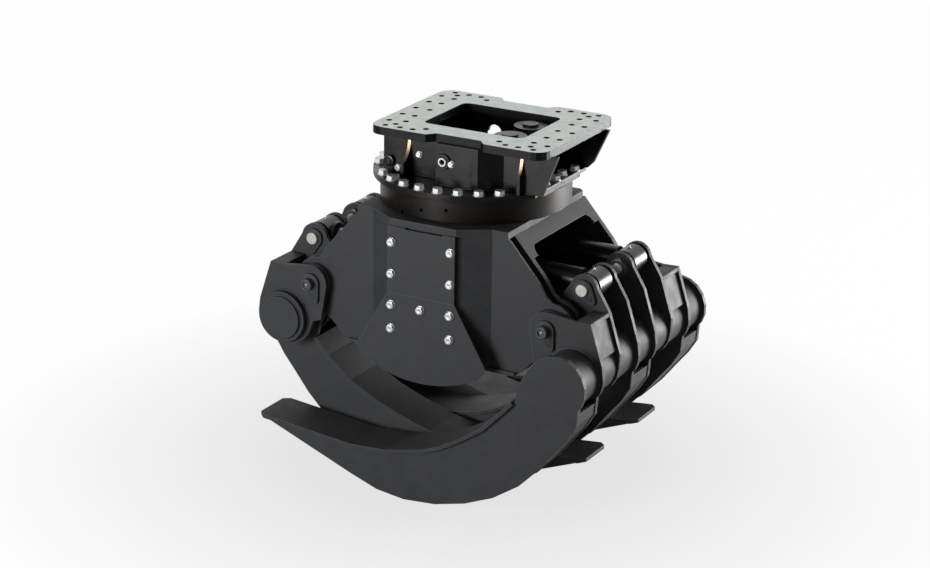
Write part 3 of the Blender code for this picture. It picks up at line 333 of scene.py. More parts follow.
def pieceFrom(name, bm, finish, body, crease=turnedCrease):
    bmesh.ops.recalc_face_normals(bm, faces=bm.faces)
    mesh = bpy.data.meshes.new(name)
    bm.to_mesh(mesh)
    bm.free()
    mesh.shade_smooth()
    mesh.set_sharp_from_angle(angle=math.radians(crease))
    mesh.materials.append(finish)
    piece = bpy.data.objects.new(name, mesh)
    bpy.context.collection.objects.link(piece)
    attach(piece, body)
    return piece


def neighbours(rings, closed=False):
    return list(zip(rings, rings[1:])) + ([(rings[-1], rings[0])] if closed else [])


def bridge(bm, lower, upper):
    # Quads between two rings of as many corners
    for i in range(len(lower)):
        j = (i + 1) % len(lower)
        bm.faces.new((lower[i], lower[j], upper[j], upper[i]))


def prism(bm, near, far):
    bm.faces.new(near)
    bm.faces.new(list(reversed(far)))
    bridge(bm, near, far)


def turned(bm, profile, matrix, sides=32, closed=False):
    # A lathe profile of (radius, height) about the matrix's Z; closed joins its ends to a ring
    turns = [math.tau * i / sides for i in range(sides)]
    rings = []
    for radius, height in profile:
        spots = [(radius * math.cos(t), radius * math.sin(t)) for t in turns]
        rings.append([bm.verts.new(matrix @ Vector((x, y, height)))
                      for x, y in (spots if radius else spots[:1])])
    for lower, upper in neighbours(rings, closed):
        for i in range(sides):
            j = (i + 1) % sides
            corners = []
            for ring, k in ((lower, i), (lower, j), (upper, j), (upper, i)):
                vert = ring[k % len(ring)]
                if vert not in corners:
                    corners.append(vert)
            if len(corners) > 2:
                bm.faces.new(corners)


def upward(x, y, z):
    return Matrix.Translation((x, y, z))


def frontward(x, y, z):
    # Local Z towards -Y
    return upward(x, y, z) @ Matrix.Rotation(math.pi / 2, 4, "X")


def rearward(x, y, z):
    # Local Z towards +Y
    return upward(x, y, z) @ Matrix.Rotation(-math.pi / 2, 4, "X")


def alongX(x, y, z):
    # Local Z towards +X
    return upward(x, y, z) @ Matrix.Rotation(math.pi / 2, 4, "Y")


# The crown is rings by their share of the apothem and of the chamfer's drop below the top
hexSpec = {
    "points": 12, "chamfer": 30, "flatDrop": 0.12, "crown": ((0.96, 0), (0.62, 0), (0.50, 0.35)),
}
washerSpec = {"edgeShare": 0.25, "sides": 28}


def hexHead(bm, matrix, acrossFlats, height, turn=0.0):
    # Forged hexagon, chamfered on its corners, with a shallow dished crown
    spec = hexSpec
    apothem = acrossFlats / 2
    corner = acrossFlats / math.sqrt(3)
    drop = (corner - apothem) * math.tan(math.radians(spec["chamfer"]))
    count = spec["points"]
    turns = [turn + math.tau * i / count for i in range(count)]
    radii = [apothem if i % 2 else corner for i in range(count)]
    rims = [height - drop * (spec["flatDrop"] if i % 2 else 1) for i in range(count)]
    levels = [[(r, 0) for r in radii], list(zip(radii, rims))]
    levels += [[(apothem * share, height - drop * dip)] * count for share, dip in spec["crown"]]
    rings = [[bm.verts.new(matrix @ Vector((r * math.cos(t), r * math.sin(t), h)))
              for t, (r, h) in zip(turns, level)] for level in levels]
    for lower, upper in neighbours(rings):
        bridge(bm, lower, upper)
    bm.faces.new(rings[-1])


def washer(bm, matrix, outer, inner, thick):
    edge = thick * washerSpec["edgeShare"]
    turned(bm, [(inner, 0), (outer, 0), (outer, thick - edge), (outer - edge, thick),
                (inner, thick)], matrix, washerSpec["sides"], closed=True)


def boltOn(bm, matrix, spec):
    washer(bm, matrix, spec["washerR"], spec["washerBore"], spec["washerThick"])
    hexHead(bm, matrix, spec["acrossFlats"], spec["height"], spec.get("turn", 0.0))


ringBoltSpec = {
    "count": 30, "circle": 0.331, "flatCircle": 0.299, "flatLimit": 0.307, "wallMid": 0.187,
    "wallRoom": 0.026, "deck": -0.170, "acrossFlats": 0.0310, "height": 0.0168,
    "washerR": 0.0195, "washerBore": 0.0105, "washerThick": 0.0030,
}


def makeRingBolts():
    # Evenly spaced round the base flange, further in beside its flat, and none under a wall
    spec = ringBoltSpec
    bm = bmesh.new()
    for i in range(spec["count"]):
        turn = math.tau * i / spec["count"]
        radius = spec["circle"]
        if radius * math.cos(turn) > spec["flatLimit"]:
            radius = spec["flatCircle"]
        x, y = radius * math.cos(turn), radius * math.sin(turn)
        if abs(abs(y) - spec["wallMid"]) >= spec["wallRoom"]:
            boltOn(bm, upward(x, y, spec["deck"]), spec)
    pieceFrom("ringBolts", bm, zincSteel, "head", boltCrease)


# Places are across and above the level of the jaw pivots
coverBoltSpec = {
    "level": -0.567, "face": -0.3753, "acrossFlats": 0.0248, "height": 0.0128,
    "washerR": 0.0158, "washerBore": 0.008, "washerThick": 0.0024,
    "places": [(-0.112, 0.214), (0.112, 0.214), (-0.112, 0.104), (0.112, 0.104),
               (-0.112, -0.005), (0.112, -0.005), (0, -0.005), (-0.112, -0.089),
               (0.112, -0.089)],
}


def makeCoverBolts():
    spec = coverBoltSpec
    bm = bmesh.new()
    for x, z in spec["places"]:
        boltOn(bm, frontward(x, spec["face"], spec["level"] + z), spec)
    pieceFrom("coverBolts", bm, zincSteel, "rotor", boltCrease)


makeRingBolts()
makeCoverBolts()
print("bolts made")

nippleSpec = {
    "profile": [(0, 0), (0.0052, 0), (0.0052, 0.003), (0.0034, 0.0036), (0.0024, 0.0052),
                (0.0034, 0.0066), (0.0030, 0.0082), (0, 0.0088)],
    "sides": 16,
}


def greaseNipple(bm, matrix, size=1.0):
    turned(bm, [(r * size, h * size) for r, h in nippleSpec["profile"]], matrix,
           nippleSpec["sides"])


# Each ring of the plan has its corners in one order; the quads close the wall's foot and top
frontWallSpec = {
    "left": -0.250, "face": -0.194, "thick": 0.014, "portLeft": -0.017, "portRight": 0.141,
    "portFace": -0.252, "portSlant": 0.207, "slantShare": 0.40, "footRight": 0.350,
    "topRight": 0.405, "foot": -0.1697, "top": -0.0283,
    "quads": ((0, 1, 10, 11), (1, 2, 9, 10), (2, 3, 8, 9), (3, 4, 7, 8), (4, 5, 6, 7)),
}
# Places are each gusset's x, top, reach and knee
gussetSpec = {
    "places": [(-0.150, -0.045, -0.246, -0.123), (0.275, -0.038, -0.220, -0.107)],
    "thick": 0.012, "root": 0.004, "hollow": (-0.006, 0.014), "steps": 8,
    "edgeShare": 0.9, "edgeLift": (-0.0006, 0.0004),
}


def frontWallPlan(right):
    spec = frontWallSpec
    face, thick = spec["face"], spec["thick"]
    back = face + thick
    slant = thick * spec["slantShare"]
    return [(spec["left"], face), (spec["portLeft"], face), (spec["portLeft"], spec["portFace"]),
            (spec["portRight"], spec["portFace"]), (spec["portSlant"], face), (right, face),
            (right, back), (spec["portSlant"] - slant, back),
            (spec["portRight"] - slant, spec["portFace"] + thick),
            (spec["portLeft"] + thick, spec["portFace"] + thick),
            (spec["portLeft"] + thick, back), (spec["left"], back)]


def gussetOutline(top, reach, knee):
    # Out over the base flange, up to the knee and in a hollow curve to the top of the wall
    spec = gussetSpec
    face, foot = frontWallSpec["face"], frontWallSpec["foot"]
    root = face + spec["root"]
    start, end = Vector((reach, knee)), Vector((face, top))
    middle = Vector((face + spec["hollow"][0], knee + spec["hollow"][1]))
    outline = [(root, foot), (reach, foot), (reach, knee)]
    for i in range(1, spec["steps"] + 1):
        t = i / spec["steps"]
        outline.append(tuple((1 - t) ** 2 * start + 2 * t * (1 - t) * middle + t * t * end))
    return outline + [(root, top)]


def makeFrontWall():
    # Folded wall with the hose port box, and its gussets with bright strips on their cut edges,
    # partly bare steel and partly painted highlight
    spec = frontWallSpec
    bm = bmesh.new()
    levels = [[bm.verts.new((x, y, z)) for x, y in frontWallPlan(right)]
              for z, right in ((spec["foot"], spec["footRight"]), (spec["top"], spec["topRight"]))]
    bridge(bm, *levels)
    for ring in levels:
        for quad in spec["quads"]:
            bm.faces.new([ring[k] for k in quad])
    # Strips laid just off the gussets' cut edges: partly bare steel, partly painted highlight
    edges = bmesh.new()
    half = gussetSpec["thick"] / 2
    liftY, liftZ = gussetSpec["edgeLift"]
    for x, *sizes in gussetSpec["places"]:
        outline = gussetOutline(*sizes)
        prism(bm, *([bm.verts.new((x + sign * half, y, z)) for y, z in outline]
                    for sign in (-1, 1)))
        left, right = ([edges.verts.new((x + sign * half * gussetSpec["edgeShare"],
                                         y + liftY, z + liftZ)) for y, z in outline[2:-1]]
                       for sign in (-1, 1))
        for i in range(len(left) - 1):
            edges.faces.new((left[i], right[i], right[i + 1], left[i + 1]))
    pieceFrom("gussetCutEdgesAndHighlights", edges, cutEdgeAndHighlight, "head")
    wall = pieceFrom("frontWallFolded", bm, enamel, "head", plateCrease)
    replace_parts(wall, "head_front_wall")


makeFrontWall()

# Lathe profiles of the hose port's flange and seat ring, of a shallow disc of painted shade that
# stands for its bore, and of the plug beside it
portSpec = {
    "port": (0.0117, -0.252, -0.0878), "plugPlace": (-0.2250, -0.194, -0.1330),
    "flange": [(0, 0), (0.028, 0), (0.028, 0.006), (0.0265, 0.0075), (0.0165, 0.0075),
               (0.0165, 0.003), (0, 0.003)],
    "seat": [(0.0085, 0.003), (0.0155, 0.003), (0.0155, 0.0095), (0.014, 0.011),
             (0.0105, 0.011), (0.0085, 0.009)],
    "bore": [(0, 0.0032), (0.0085, 0.0032), (0.0085, 0.0045), (0, 0.0050)],
    "plug": [(0, 0), (0.020, 0), (0.020, 0.010), (0.018, 0.0125), (0.012, 0.0135),
             (0.011, 0.0185), (0, 0.0190)],
    "sides": 40, "boreSides": 24,
}
# Places are each screw's spot and its width across flats
portScrewSpec = {
    "places": [((0.0424, -0.252, -0.0922), 0.018), ((-0.1126, -0.194, -0.0970), 0.017),
               ((-0.1937, -0.194, -0.1560), 0.019)],
    "height": 0.0098, "turn": 0.4, "washerR": 0.012, "washerBore": 0.006, "washerThick": 0.0018,
}


def makePortFittings():
    # Hose port in the box: black flange, bright seat ring, and a near-black disc of painted shade
    # for the bore; screws and a plug beside it
    spec = portSpec
    place = frontward(*spec["port"])
    bm = bmesh.new()
    turned(bm, spec["flange"], place, spec["sides"])
    turned(bm, spec["plug"], frontward(*spec["plugPlace"]))
    pieceFrom("portFlange", bm, enamel, "head")
    bm = bmesh.new()
    turned(bm, spec["seat"], place, spec["sides"], closed=True)
    pieceFrom("portRing", bm, zincSteel, "head")
    bm = bmesh.new()
    turned(bm, spec["bore"], place, spec["boreSides"])
    pieceFrom("portBoreShade", bm, shadowSteel, "head")
    bm = bmesh.new()
    for spot, across in portScrewSpec["places"]:
        boltOn(bm, frontward(*spot), {**portScrewSpec, "acrossFlats": across})
    pieceFrom("portScrews", bm, zincSteel, "head", boltCrease)


makePortFittings()
print("head fittings made")

# The land is the raised middle of a locking flag; its shares are of boss, reach and toe
flagSpec = {
    "thick": 0.0100, "edge": 0.0014, "chamferShare": 0.14, "landShares": (0.80, 0.82, 0.62),
    "landThick": 0.0016, "landEdge": 0.0008, "bossSteps": 24, "toeSteps": 10,
}


def flagOutline(bossR, reach, toeR, heading):
    # Two circles joined by their common tangents: the boss at the pin and the toe at the bolt
    lean = math.acos((bossR - toeR) / reach)
    points = []
    for i in range(flagSpec["bossSteps"] + 1):
        angle = heading + lean + (math.tau - 2 * lean) * i / flagSpec["bossSteps"]
        points.append((bossR * math.cos(angle), bossR * math.sin(angle)))
    for i in range(flagSpec["toeSteps"] + 1):
        angle = heading - lean + 2 * lean * i / flagSpec["toeSteps"]
        points.append((reach * math.cos(heading) + toeR * math.cos(angle),
                       reach * math.sin(heading) + toeR * math.sin(angle)))
    return points


def flagLayer(bm, matrix, sizes, heading, thick, edge):
    # A plate of the flag's outline with a chamfer round its face
    bossR, reach, toeR = sizes
    outline = flagOutline(bossR, reach, toeR, heading)
    inset = flagOutline(bossR - edge, reach, toeR - edge, heading)
    shoulder = thick - thick * flagSpec["chamferShare"]
    rings = [[bm.verts.new(matrix @ Vector((x, y, height))) for x, y in ring]
             for ring, height in ((outline, 0), (outline, shoulder), (inset, thick))]
    for lower, upper in neighbours(rings):
        bridge(bm, lower, upper)
    bm.faces.new(list(reversed(rings[0])))
    bm.faces.new(rings[-1])


def flagOn(bm, matrix, sizes, heading):
    spec = flagSpec
    flagLayer(bm, matrix, sizes, heading, spec["thick"], spec["edge"])
    land = [size * share for size, share in zip(sizes, spec["landShares"])]
    flagLayer(bm, matrix @ upward(0, 0, spec["thick"]), land, heading, spec["landThick"],
              spec["landEdge"])


# A pin's profiles run outwards from its start. Flags are boss, reach and toe, and headings are
# in degrees from +X towards the top
pivotPinSpec = {
    "places": {"left": -0.450, "right": 0.450}, "level": -0.567, "start": 0.1912,
    "shank": [(0, 0), (0.027, 0), (0.030, 0.003), (0.030, 0.1496), (0, 0.1496)], "sides": 40,
    "collar": [(0, 0.1596), (0.0205, 0.1596), (0.0205, 0.1825), (0.0187, 0.1843),
               (0.01353, 0.1843), (0.0123, 0.1788), (0, 0.1788)], "collarSides": 36,
    "flag": (0.034, 0.060, 0.014), "flagAt": 0.1496, "heading": {"left": -72, "right": -70},
    "nippleAt": 0.1789, "nippleSize": 0.62,
}
earPinSpec = {
    "places": {"left": -0.5184, "right": 0.5184}, "level": -0.4545, "start": 0.0342,
    "shank": [(0, 0), (0.0154, 0), (0.018, 0.0012), (0.0166, 0.0025), (0.018, 0.0038),
              (0.0166, 0.0051), (0.018, 0.0064), (0.018, 0.0240), (0.0210, 0.0240),
              (0.0210, 0.1918), (0.0195, 0.1933), (0, 0.1933)], "sides": 40,
    "flag": (0.034, 0.047, 0.014), "flagAt": 0.1736, "heading": {"left": -100, "right": -45},
    "nutAt": 0.0240, "nutWasher": (0.0336, 0.0184, 0.0030), "nutAcross": 0.060,
    "nutHeight": 0.0130, "nutTurn": 0.35,
}


def pinEnds(spec):
    # Jaw, end, the matrix at the pin's start there and the flag's heading. At the rear the
    # matrix has its Y downwards, so the heading is mirrored
    for side, x in spec["places"].items():
        heading = math.radians(spec["heading"][side])
        yield side, "front", frontward(x, -spec["start"], spec["level"]), heading
        yield side, "rear", rearward(x, spec["start"], spec["level"]), -heading


def makePivotPins():
    # Jaw pins with a collar and grease nipple outside their locking flags
    spec = pivotPinSpec
    for side, end, place, heading in pinEnds(spec):
        bm = bmesh.new()
        turned(bm, spec["shank"], place, spec["sides"])
        turned(bm, spec["collar"], place, spec["collarSides"])
        pin = pieceFrom(side + "PivotPin" + end.capitalize(), bm, blackOxide, side + "_jaw")
        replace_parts(pin, side + "_" + end + "_pivot_pin")
        bm = bmesh.new()
        flagOn(bm, place @ upward(0, 0, spec["flagAt"]), spec["flag"], heading)
        pieceFrom(side + "PivotFlag" + end.capitalize(), bm, powderCoat, side + "_jaw",
                  plateCrease)
        bm = bmesh.new()
        greaseNipple(bm, place @ upward(0, 0, spec["nippleAt"]), spec["nippleSize"])
        pieceFrom(side + "PivotNipple" + end.capitalize(), bm, zincSteel, side + "_jaw")


def makeEarPins():
    # Cylinder pins with a nut on the thread inside and a locking flag outside
    spec = earPinSpec
    outer, inner, thick = spec["nutWasher"]
    for side, end, place, heading in pinEnds(spec):
        bm = bmesh.new()
        turned(bm, spec["shank"], place, spec["sides"])
        pin = pieceFrom(side + "EarPin" + end.capitalize(), bm, turnedSteel, side + "_jaw")
        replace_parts(pin, side + "_" + end + "_ear_pin")
        bm = bmesh.new()
        inward = place @ upward(0, 0, spec["nutAt"]) @ Matrix.Rotation(math.pi, 4, "X")
        washer(bm, inward, outer, inner, thick)
        hexHead(bm, inward @ upward(0, 0, thick), spec["nutAcross"], spec["nutHeight"],
                spec["nutTurn"])
        pieceFrom(side + "EarNut" + end.capitalize(), bm, blackOxide, side + "_jaw",
                  boltCrease)
        bm = bmesh.new()
        flagOn(bm, place @ upward(0, 0, spec["flagAt"]), spec["flag"], heading)
        pieceFrom(side + "EarFlag" + end.capitalize(), bm, powderCoat, side + "_jaw",
                  plateCrease)


makePivotPins()
makeEarPins()
print("pins made")

# The real pitch of the ripples is 1.5 mm; they are drawn at 5 mm
weldSpec = {
    "tubeX": 0.556, "tubeZ": -0.704, "tubeR": 0.0925, "cheekOut": 0.3408, "capR": 0.0768,
    "capAt": 0.3658, "capShare": 0.7, "pivotX": 0.450, "pivotZ": -0.567, "bossR": 0.0610,
    "bossAt": 0.2566, "wallEnd": 0.318, "wallLift": 0.0012, "bead": 0.0032, "pitch": 0.005,
    "crest": 1.13, "trough": 0.94, "sides": 8,
}


def weldBead(bm, path, radius, normal, closed=True):
    # A laid bead with the ripples of its puddles
    spec = weldSpec
    turns = [math.tau * k / spec["sides"] for k in range(spec["sides"])]
    rings = []
    for i, point in enumerate(path):
        ahead = path[(i + 1) % len(path)] if closed or i + 1 < len(path) else point
        behind = path[i - 1] if closed or i else point
        side = (Vector(ahead) - Vector(behind)).normalized().cross(normal)
        r = radius * (spec["crest"] if i % 2 else spec["trough"])
        rings.append([bm.verts.new(Vector(point) + side * r * math.cos(t)
                                   + Vector(normal) * r * math.sin(t)) for t in turns])
    for lower, upper in neighbours(rings, closed):
        bridge(bm, lower, upper)
    if not closed:
        bm.faces.new(rings[0])
        bm.faces.new(list(reversed(rings[-1])))


def ringBead(bm, x, y, z, radius, bead):
    # Fillet round a boss or tube whose axis is along Y, with an even number of ripples
    count = int(math.tau * radius / weldSpec["pitch"]) // 2 * 2
    path = [(x + radius * math.cos(math.tau * i / count), y,
             z + radius * math.sin(math.tau * i / count)) for i in range(count)]
    weldBead(bm, path, bead, (0, 1, 0))


def linePath(start, end):
    start, end = Vector(start), Vector(end)
    count = max(2, int((end - start).length / weldSpec["pitch"]))
    return [start.lerp(end, i / count) for i in range(count + 1)]


def makeWelds():
    # Fillets round the torque tubes, round the pivot bosses and along the foot of the front wall
    spec = weldSpec
    bead = spec["bead"]
    for side, sign in (("left", -1), ("right", 1)):
        bm = bmesh.new()
        for end in (-1, 1):
            ringBead(bm, sign * spec["tubeX"], end * spec["cheekOut"], spec["tubeZ"],
                     spec["tubeR"], bead)
            if side == "left":
                ringBead(bm, sign * spec["tubeX"], end * spec["capAt"], spec["tubeZ"],
                         spec["capR"], bead * spec["capShare"])
        pieceFrom(side + "TubeWelds", bm, powderCoat, side + "_jaw")
    bm = bmesh.new()
    for sign in (-1, 1):
        for end in (-1, 1):
            ringBead(bm, sign * spec["pivotX"], end * spec["bossAt"], spec["pivotZ"],
                     spec["bossR"], bead)
    pieceFrom("bossWelds", bm, powderCoat, "rotor")
    bm = bmesh.new()
    z = frontWallSpec["foot"] + spec["wallLift"]
    # The plan's first six corners run along the outside of the wall
    for start, end in neighbours(frontWallPlan(spec["wallEnd"])[:6]):
        weldBead(bm, linePath((*start, z), (*end, z)), bead, (0, 0, 1), closed=False)
    pieceFrom("wallFootWelds", bm, enamel, "head")


makeWelds()
print("welds made")

# Profiles of half the capped left tube, which is mirrored, and of the open right one
tubeSpec = {
    "x": 0.556, "z": -0.704, "sides": 96,
    "leftHalf": [(0.091, 0.3643), (0.0898, 0.3655), (0.076, 0.3655), (0.076, 0.3763),
                 (0.0748, 0.3775), (0, 0.3775)],
    "right": [(0.079, -0.4572), (0.091, -0.4572), (0.091, 0.4572), (0.079, 0.4572)],
}


def makeTorqueTubes():
    # Seamless tubes: the left one capped with a disc at each end, the right one open in its tines
    spec = tubeSpec
    half = spec["leftHalf"]
    bm = bmesh.new()
    turned(bm, [(r, -h) for r, h in reversed(half)] + half,
           frontward(-spec["x"], 0, spec["z"]), spec["sides"])
    tube = pieceFrom("leftTubeCapped", bm, powderCoat, "left_jaw")
    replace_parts(tube, "left_torque_tube")
    bm = bmesh.new()
    turned(bm, spec["right"], frontward(spec["x"], 0, spec["z"]), spec["sides"], closed=True)
    tube = pieceFrom("rightTubeOpen", bm, powderCoat, "right_jaw")
    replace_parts(tube, "right_torque_tube")


makeTorqueTubes()
print("torque tubes made")

browSpec = {
    "pivot": (0.450, -0.567), "top": (0.105, 0.047), "corner": (0.162, 0.049),
    "hip": (0.207, -0.090), "thick": 0.014, "inner": 0.2085, "outer": 0.3235, "edge": 0.0012,
}


def makeBoxBrows():
    # Upper limb of the box between cheek and outer ear, flush with the cheek's corner, over the
    # recessed flank
    spec = browSpec
    top, corner, hip = (Vector(spec["pivot"]) + Vector(spec[key])
                        for key in ("top", "corner", "hip"))
    down = (hip - corner).normalized() * spec["thick"]
    outline = [top, corner, corner + down, top + down]
    for side, sign in (("left", -1), ("right", 1)):
        bm = bmesh.new()
        for end in (-1, 1):
            prism(bm, *([bm.verts.new((sign * p.x, end * spec[key], p.y)) for p in outline]
                        for key in ("inner", "outer")))
        bmesh.ops.bevel(bm, geom=bm.edges[:], offset=spec["edge"], segments=1, affect="EDGES")
        pieceFrom(side + "BoxBrows", bm, powderCoat, side + "_jaw", plateCrease)


makeBoxBrows()
print("box brows made")

# Profiles are radius and x along the cylinder, in the closed pose
cylinderSpec = {
    "y": {"front": -0.133, "rear": 0.133}, "axisZ": -0.4545, "eyeX": 0.5184, "nippleRise": 0.0462,
    "eye": [(0.0214, -0.045), (0.0454, -0.045), (0.047, -0.0434), (0.047, 0.0434),
            (0.0454, 0.045), (0.0214, 0.045)],
    "tube": [(0.036, -0.1675), (0.043, -0.1675), (0.044, -0.1665), (0.044, 0.4800), (0, 0.4800),
             (0, 0.4494), (0.036, 0.4494)],
    "gland": [(0.0243, -0.1931), (0.0283, -0.1941), (0.048, -0.1941), (0.052, -0.1901),
              (0.052, -0.1841), (0.0508, -0.1831), (0.0508, -0.1801), (0.052, -0.1791),
              (0.052, -0.1679), (0.0357, -0.1679), (0.0357, -0.1341), (0.0243, -0.1341)],
    "rod": [(0, -0.4800), (0.044, -0.4800), (0.044, -0.4654), (0.040, -0.4624),
            (0.024, -0.4594), (0.024, 0.1321), (0.0357, 0.1321), (0.0357, 0.1461),
            (0.0337, 0.1461), (0.0337, 0.1581), (0.0357, 0.1581), (0.0357, 0.1721), (0, 0.1721)],
    "sides": 64,
}


def makeCylinders():
    # Honed tubes with forged eyes, screwed glands and chromed rods, turned smooth
    spec = cylinderSpec
    sides = spec["sides"]
    for end, y in spec["y"].items():
        axis = alongX(0, y, spec["axisZ"])
        bm = bmesh.new()
        turned(bm, spec["tube"], axis, sides, closed=True)
        turned(bm, spec["eye"], frontward(spec["eyeX"], y, spec["axisZ"]), sides, closed=True)
        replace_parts(pieceFrom(end + "CylinderTube", bm, enamel, end + "_barrel"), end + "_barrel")
        bm = bmesh.new()
        turned(bm, spec["gland"], axis, sides, closed=True)
        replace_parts(pieceFrom(end + "CylinderGland", bm, enamel, end + "_barrel"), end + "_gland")
        bm = bmesh.new()
        turned(bm, spec["rod"], axis, sides)
        turned(bm, spec["eye"], frontward(-spec["eyeX"], y, spec["axisZ"]), sides, closed=True)
        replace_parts(pieceFrom(end + "CylinderRod", bm, rodFinish, end + "_rod"),
                    end + "_rod")
        for body, x in ((end + "_barrel", spec["eyeX"]), (end + "_rod", -spec["eyeX"])):
            bm = bmesh.new()
            greaseNipple(bm, upward(x, y, spec["axisZ"] + spec["nippleRise"]))
            pieceFrom(body.replace("_", "") + "Nipple", bm, zincSteel, body)


makeCylinders()
print("cylinders made")

# Bores are at an angle in degrees from the front, and a height
outerRaceSpec = {
    "profile": [(0.283, -0.2725), (0.324, -0.2725), (0.326, -0.2705), (0.326, -0.192),
                (0.3488, -0.192), (0.350, -0.1908), (0.350, -0.181), (0.283, -0.181)],
    "sides": 180, "rimFrom": 0.327, "flat": 0.322,
    "bores": [(-20, -0.266), (11, -0.23), (-5, -0.242)], "boreFrom": 0.3254,
    "bore": [(0, 0), (0.0062, 0), (0.0062, 0.0009), (0.0031, 0.0010), (0, 0.0010)],
    "boreSides": 20,
}


def makeOuterRace():
    # Turned outer race with a rim under the bolts and a flat on one side; its grease bores are
    # shallow discs of painted shade
    spec = outerRaceSpec
    bm = bmesh.new()
    turned(bm, spec["profile"], upward(0, 0, 0), spec["sides"], closed=True)
    for vert in bm.verts:
        if vert.co.xy.length > spec["rimFrom"]:
            vert.co.x = min(vert.co.x, spec["flat"])
    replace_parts(pieceFrom("outerRaceTurned", bm, raceSteel, "head"),
                "slew_outer_race")
    # Near-black discs of painted shade where the grease bores are
    bm = bmesh.new()
    for heading, z in spec["bores"]:
        turn = math.radians(heading)
        out = Vector((math.sin(turn), -math.cos(turn), 0))
        place = Matrix.Translation(out * spec["boreFrom"] + Vector((0, 0, z)))
        turned(bm, spec["bore"], place @ out.to_track_quat("Z", "Y").to_matrix().to_4x4(),
               spec["boreSides"])
    pieceFrom("raceBoreShades", bm, shadowSteel, "head")


makeOuterRace()
print("race made")

# The room turns from dark in front to white behind over roomTurn, and the floor's reflection
# over floorTurn. The floor fades to plain white with the distance in floorFade
studioSpec = {
    "ambient": 0.07, "roomTurn": (-0.1, 0.55), "mirrorRoom": (0.20, 1.1),
    "floor": "#b8b8b8", "floorRoughness": 0.9, "floorSize": 14, "floorDrop": 0.0005,
    "floorFade": (0.55, 1.8), "floorLevels": (0.74, 0.985),
    "floorTurn": (-0.3, 0.9), "mirrorFloor": (0.03, 0.60),
}
white = (1, 1, 1, 1)


def makeStudioWorld():
    # The camera sees plain white. Mirrors and gloss see a white room behind and a dark one in
    # front
    spec = studioSpec
    world = bpy.data.worlds.new("studioWorld")
    bpy.context.scene.world = world
    world.use_nodes = True
    tree = world.node_tree
    tree.nodes.clear()
    heading = addNode(tree, "ShaderNodeSeparateXYZ", {
        0: addNode(tree, "ShaderNodeTexCoord").outputs["Generated"]})
    room = addNode(tree, "ShaderNodeMapRange", {
        "Value": heading.outputs["Y"],
        "From Min": spec["roomTurn"][0], "From Max": spec["roomTurn"][1],
        "To Min": spec["mirrorRoom"][0], "To Max": spec["mirrorRoom"][1]})
    mirror, soft, plain = (
        addNode(tree, "ShaderNodeBackground", {"Color": white, "Strength": strength})
        for strength in (room, spec["ambient"], 1.0))
    path = addNode(tree, "ShaderNodeLightPath")
    lit = addNode(tree, "ShaderNodeMixShader", {
        0: path.outputs["Is Glossy Ray"], 1: soft, 2: mirror})
    seen = addNode(tree, "ShaderNodeMath", {
        0: path.outputs["Is Camera Ray"], 1: path.outputs["Is Transmission Ray"]},
        operation="MAXIMUM")
    mixed = addNode(tree, "ShaderNodeMixShader", {0: seen, 1: lit, 2: plain})
    addNode(tree, "ShaderNodeOutputWorld", {"Surface": mixed})


def makeFloor():
    # Pale floor that keeps the shadow near the object and fades to plain white around it
    spec = studioSpec
    bm = bmesh.new()
    bmesh.ops.create_grid(bm, x_segments=2, y_segments=2, size=spec["floorSize"])
    bmesh.ops.translate(bm, vec=(0, 0, cadBox[0].z - spec["floorDrop"]), verts=bm.verts)
    mesh = bpy.data.meshes.new("floor")
    bm.to_mesh(mesh)
    bm.free()
    floor = bpy.data.objects.new("floor", mesh)
    bpy.context.collection.objects.link(floor)
    material, tree, shader, place = newMaterial("paleFloor", specular=0.0)
    shader.inputs["Base Color"].default_value = linear(spec["floor"])
    shader.inputs["Roughness"].default_value = spec["floorRoughness"]
    level = addNode(tree, "ShaderNodeVectorMath", {0: place, 1: (1, 1, 0)}, operation="MULTIPLY")
    away = addNode(tree, "ShaderNodeVectorMath", {0: level}, operation="LENGTH")
    around = addNode(tree, "ShaderNodeMapRange", {
        "Value": away.outputs["Value"],
        "From Min": spec["floorFade"][0], "From Max": spec["floorFade"][1],
        "To Min": spec["floorLevels"][0], "To Max": spec["floorLevels"][1]})
    back = addNode(tree, "ShaderNodeMapRange", {
        "Value": addNode(tree, "ShaderNodeSeparateXYZ", {0: place}).outputs["Y"],
        "From Min": spec["floorTurn"][0], "From Max": spec["floorTurn"][1],
        "To Min": spec["mirrorFloor"][0], "To Max": spec["mirrorFloor"][1]})
    path = addNode(tree, "ShaderNodeLightPath")
    bright, mirrored = (
        addNode(tree, "ShaderNodeMath", {0: path.outputs[ray], 1: amount}, operation="MULTIPLY")
        for ray, amount in (("Is Camera Ray", around), ("Is Glossy Ray", back)))
    share = addNode(tree, "ShaderNodeMath", {0: bright, 1: mirrored}, operation="MAXIMUM")
    glow = addNode(tree, "ShaderNodeEmission", {"Color": white, "Strength": 1.0})
    mixed = addNode(tree, "ShaderNodeMixShader", {0: share, 1: shader, 2: glow})
    tree.links.new(mixed.outputs[0], tree.nodes["Material Output"].inputs["Surface"])
    mesh.materials.append(material)


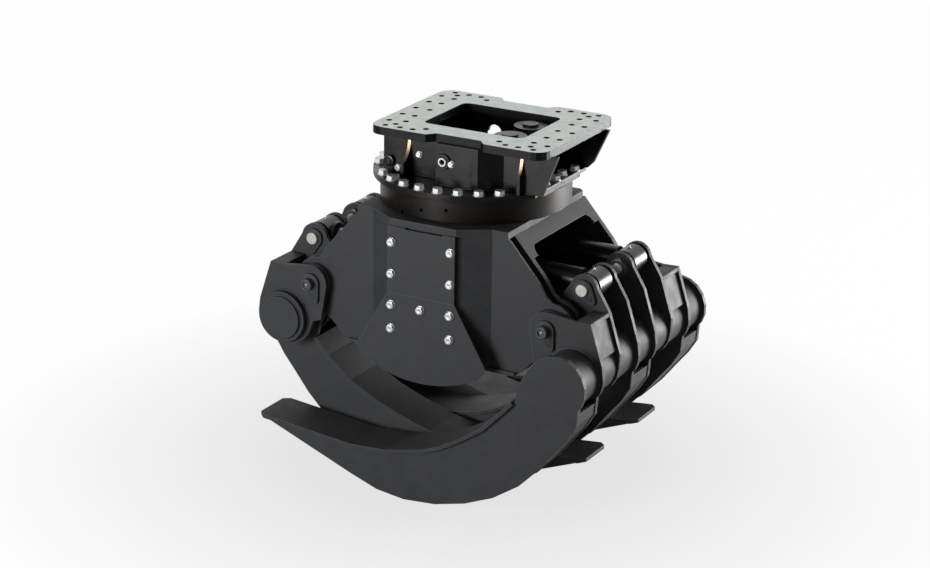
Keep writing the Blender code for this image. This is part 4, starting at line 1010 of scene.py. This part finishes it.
# Power in watts, and the width of the disc
lampSpec = {
    "keyLamp": {"place": (-1.4, -4.2, 0.15), "power": 108, "size": 2.0},
    "edgeLamp": {"place": (2.8, 3.7, -0.75), "power": 330, "size": 2.2},
}
lampAim = (0, 0, -0.55)


def makeLamps():
    # A key from the front left, and a strong lamp behind on the right for the bright edges
    for name, spec in lampSpec.items():
        lamp = bpy.data.lights.new(name, "AREA")
        lamp.shape = "DISK"
        lamp.size = spec["size"]
        lamp.energy = spec["power"]
        item = bpy.data.objects.new(name, lamp)
        item.location = spec["place"]
        away = Vector(lampAim) - Vector(spec["place"])
        item.rotation_euler = away.to_track_quat("-Z", "Y").to_euler()
        bpy.context.collection.objects.link(item)


# Fitted to the photograph. focalShare is the focal length in widths of the picture
cameraSpec = {
    "target": (-0.0384, 0.0, -0.5999), "azimuth": 28.78, "elevation": 19.36, "roll": 0.84,
    "distance": 9.2324, "focalShare": 2680.17 / 930, "sensor": 36.0, "clipEnd": 60,
}


def makeCamera():
    spec = cameraSpec
    a, e, roll = (math.radians(spec[key]) for key in ("azimuth", "elevation", "roll"))
    back = Vector((math.sin(a) * math.cos(e), -math.cos(a) * math.cos(e), math.sin(e)))
    right = Vector((math.cos(a), math.sin(a), 0))
    up = back.cross(right)
    tiltedRight = right * math.cos(roll) + up * math.sin(roll)
    tiltedUp = up * math.cos(roll) - right * math.sin(roll)
    data = bpy.data.cameras.new("camera")
    data.sensor_width = spec["sensor"]
    data.sensor_fit = "HORIZONTAL"
    data.lens = spec["focalShare"] * spec["sensor"]
    data.clip_end = spec["clipEnd"]
    camera = bpy.data.objects.new("camera", data)
    place = Vector(spec["target"]) + back * spec["distance"]
    camera.matrix_world = Matrix((
        (tiltedRight.x, tiltedUp.x, back.x, place.x),
        (tiltedRight.y, tiltedUp.y, back.y, place.y),
        (tiltedRight.z, tiltedUp.z, back.z, place.z), (0, 0, 0, 1)))
    bpy.context.collection.objects.link(camera)
    bpy.context.scene.camera = camera


makeStudioWorld()
makeFloor()
makeLamps()
makeCamera()
bpy.context.scene.view_settings.view_transform = "Standard"
print("studio made")
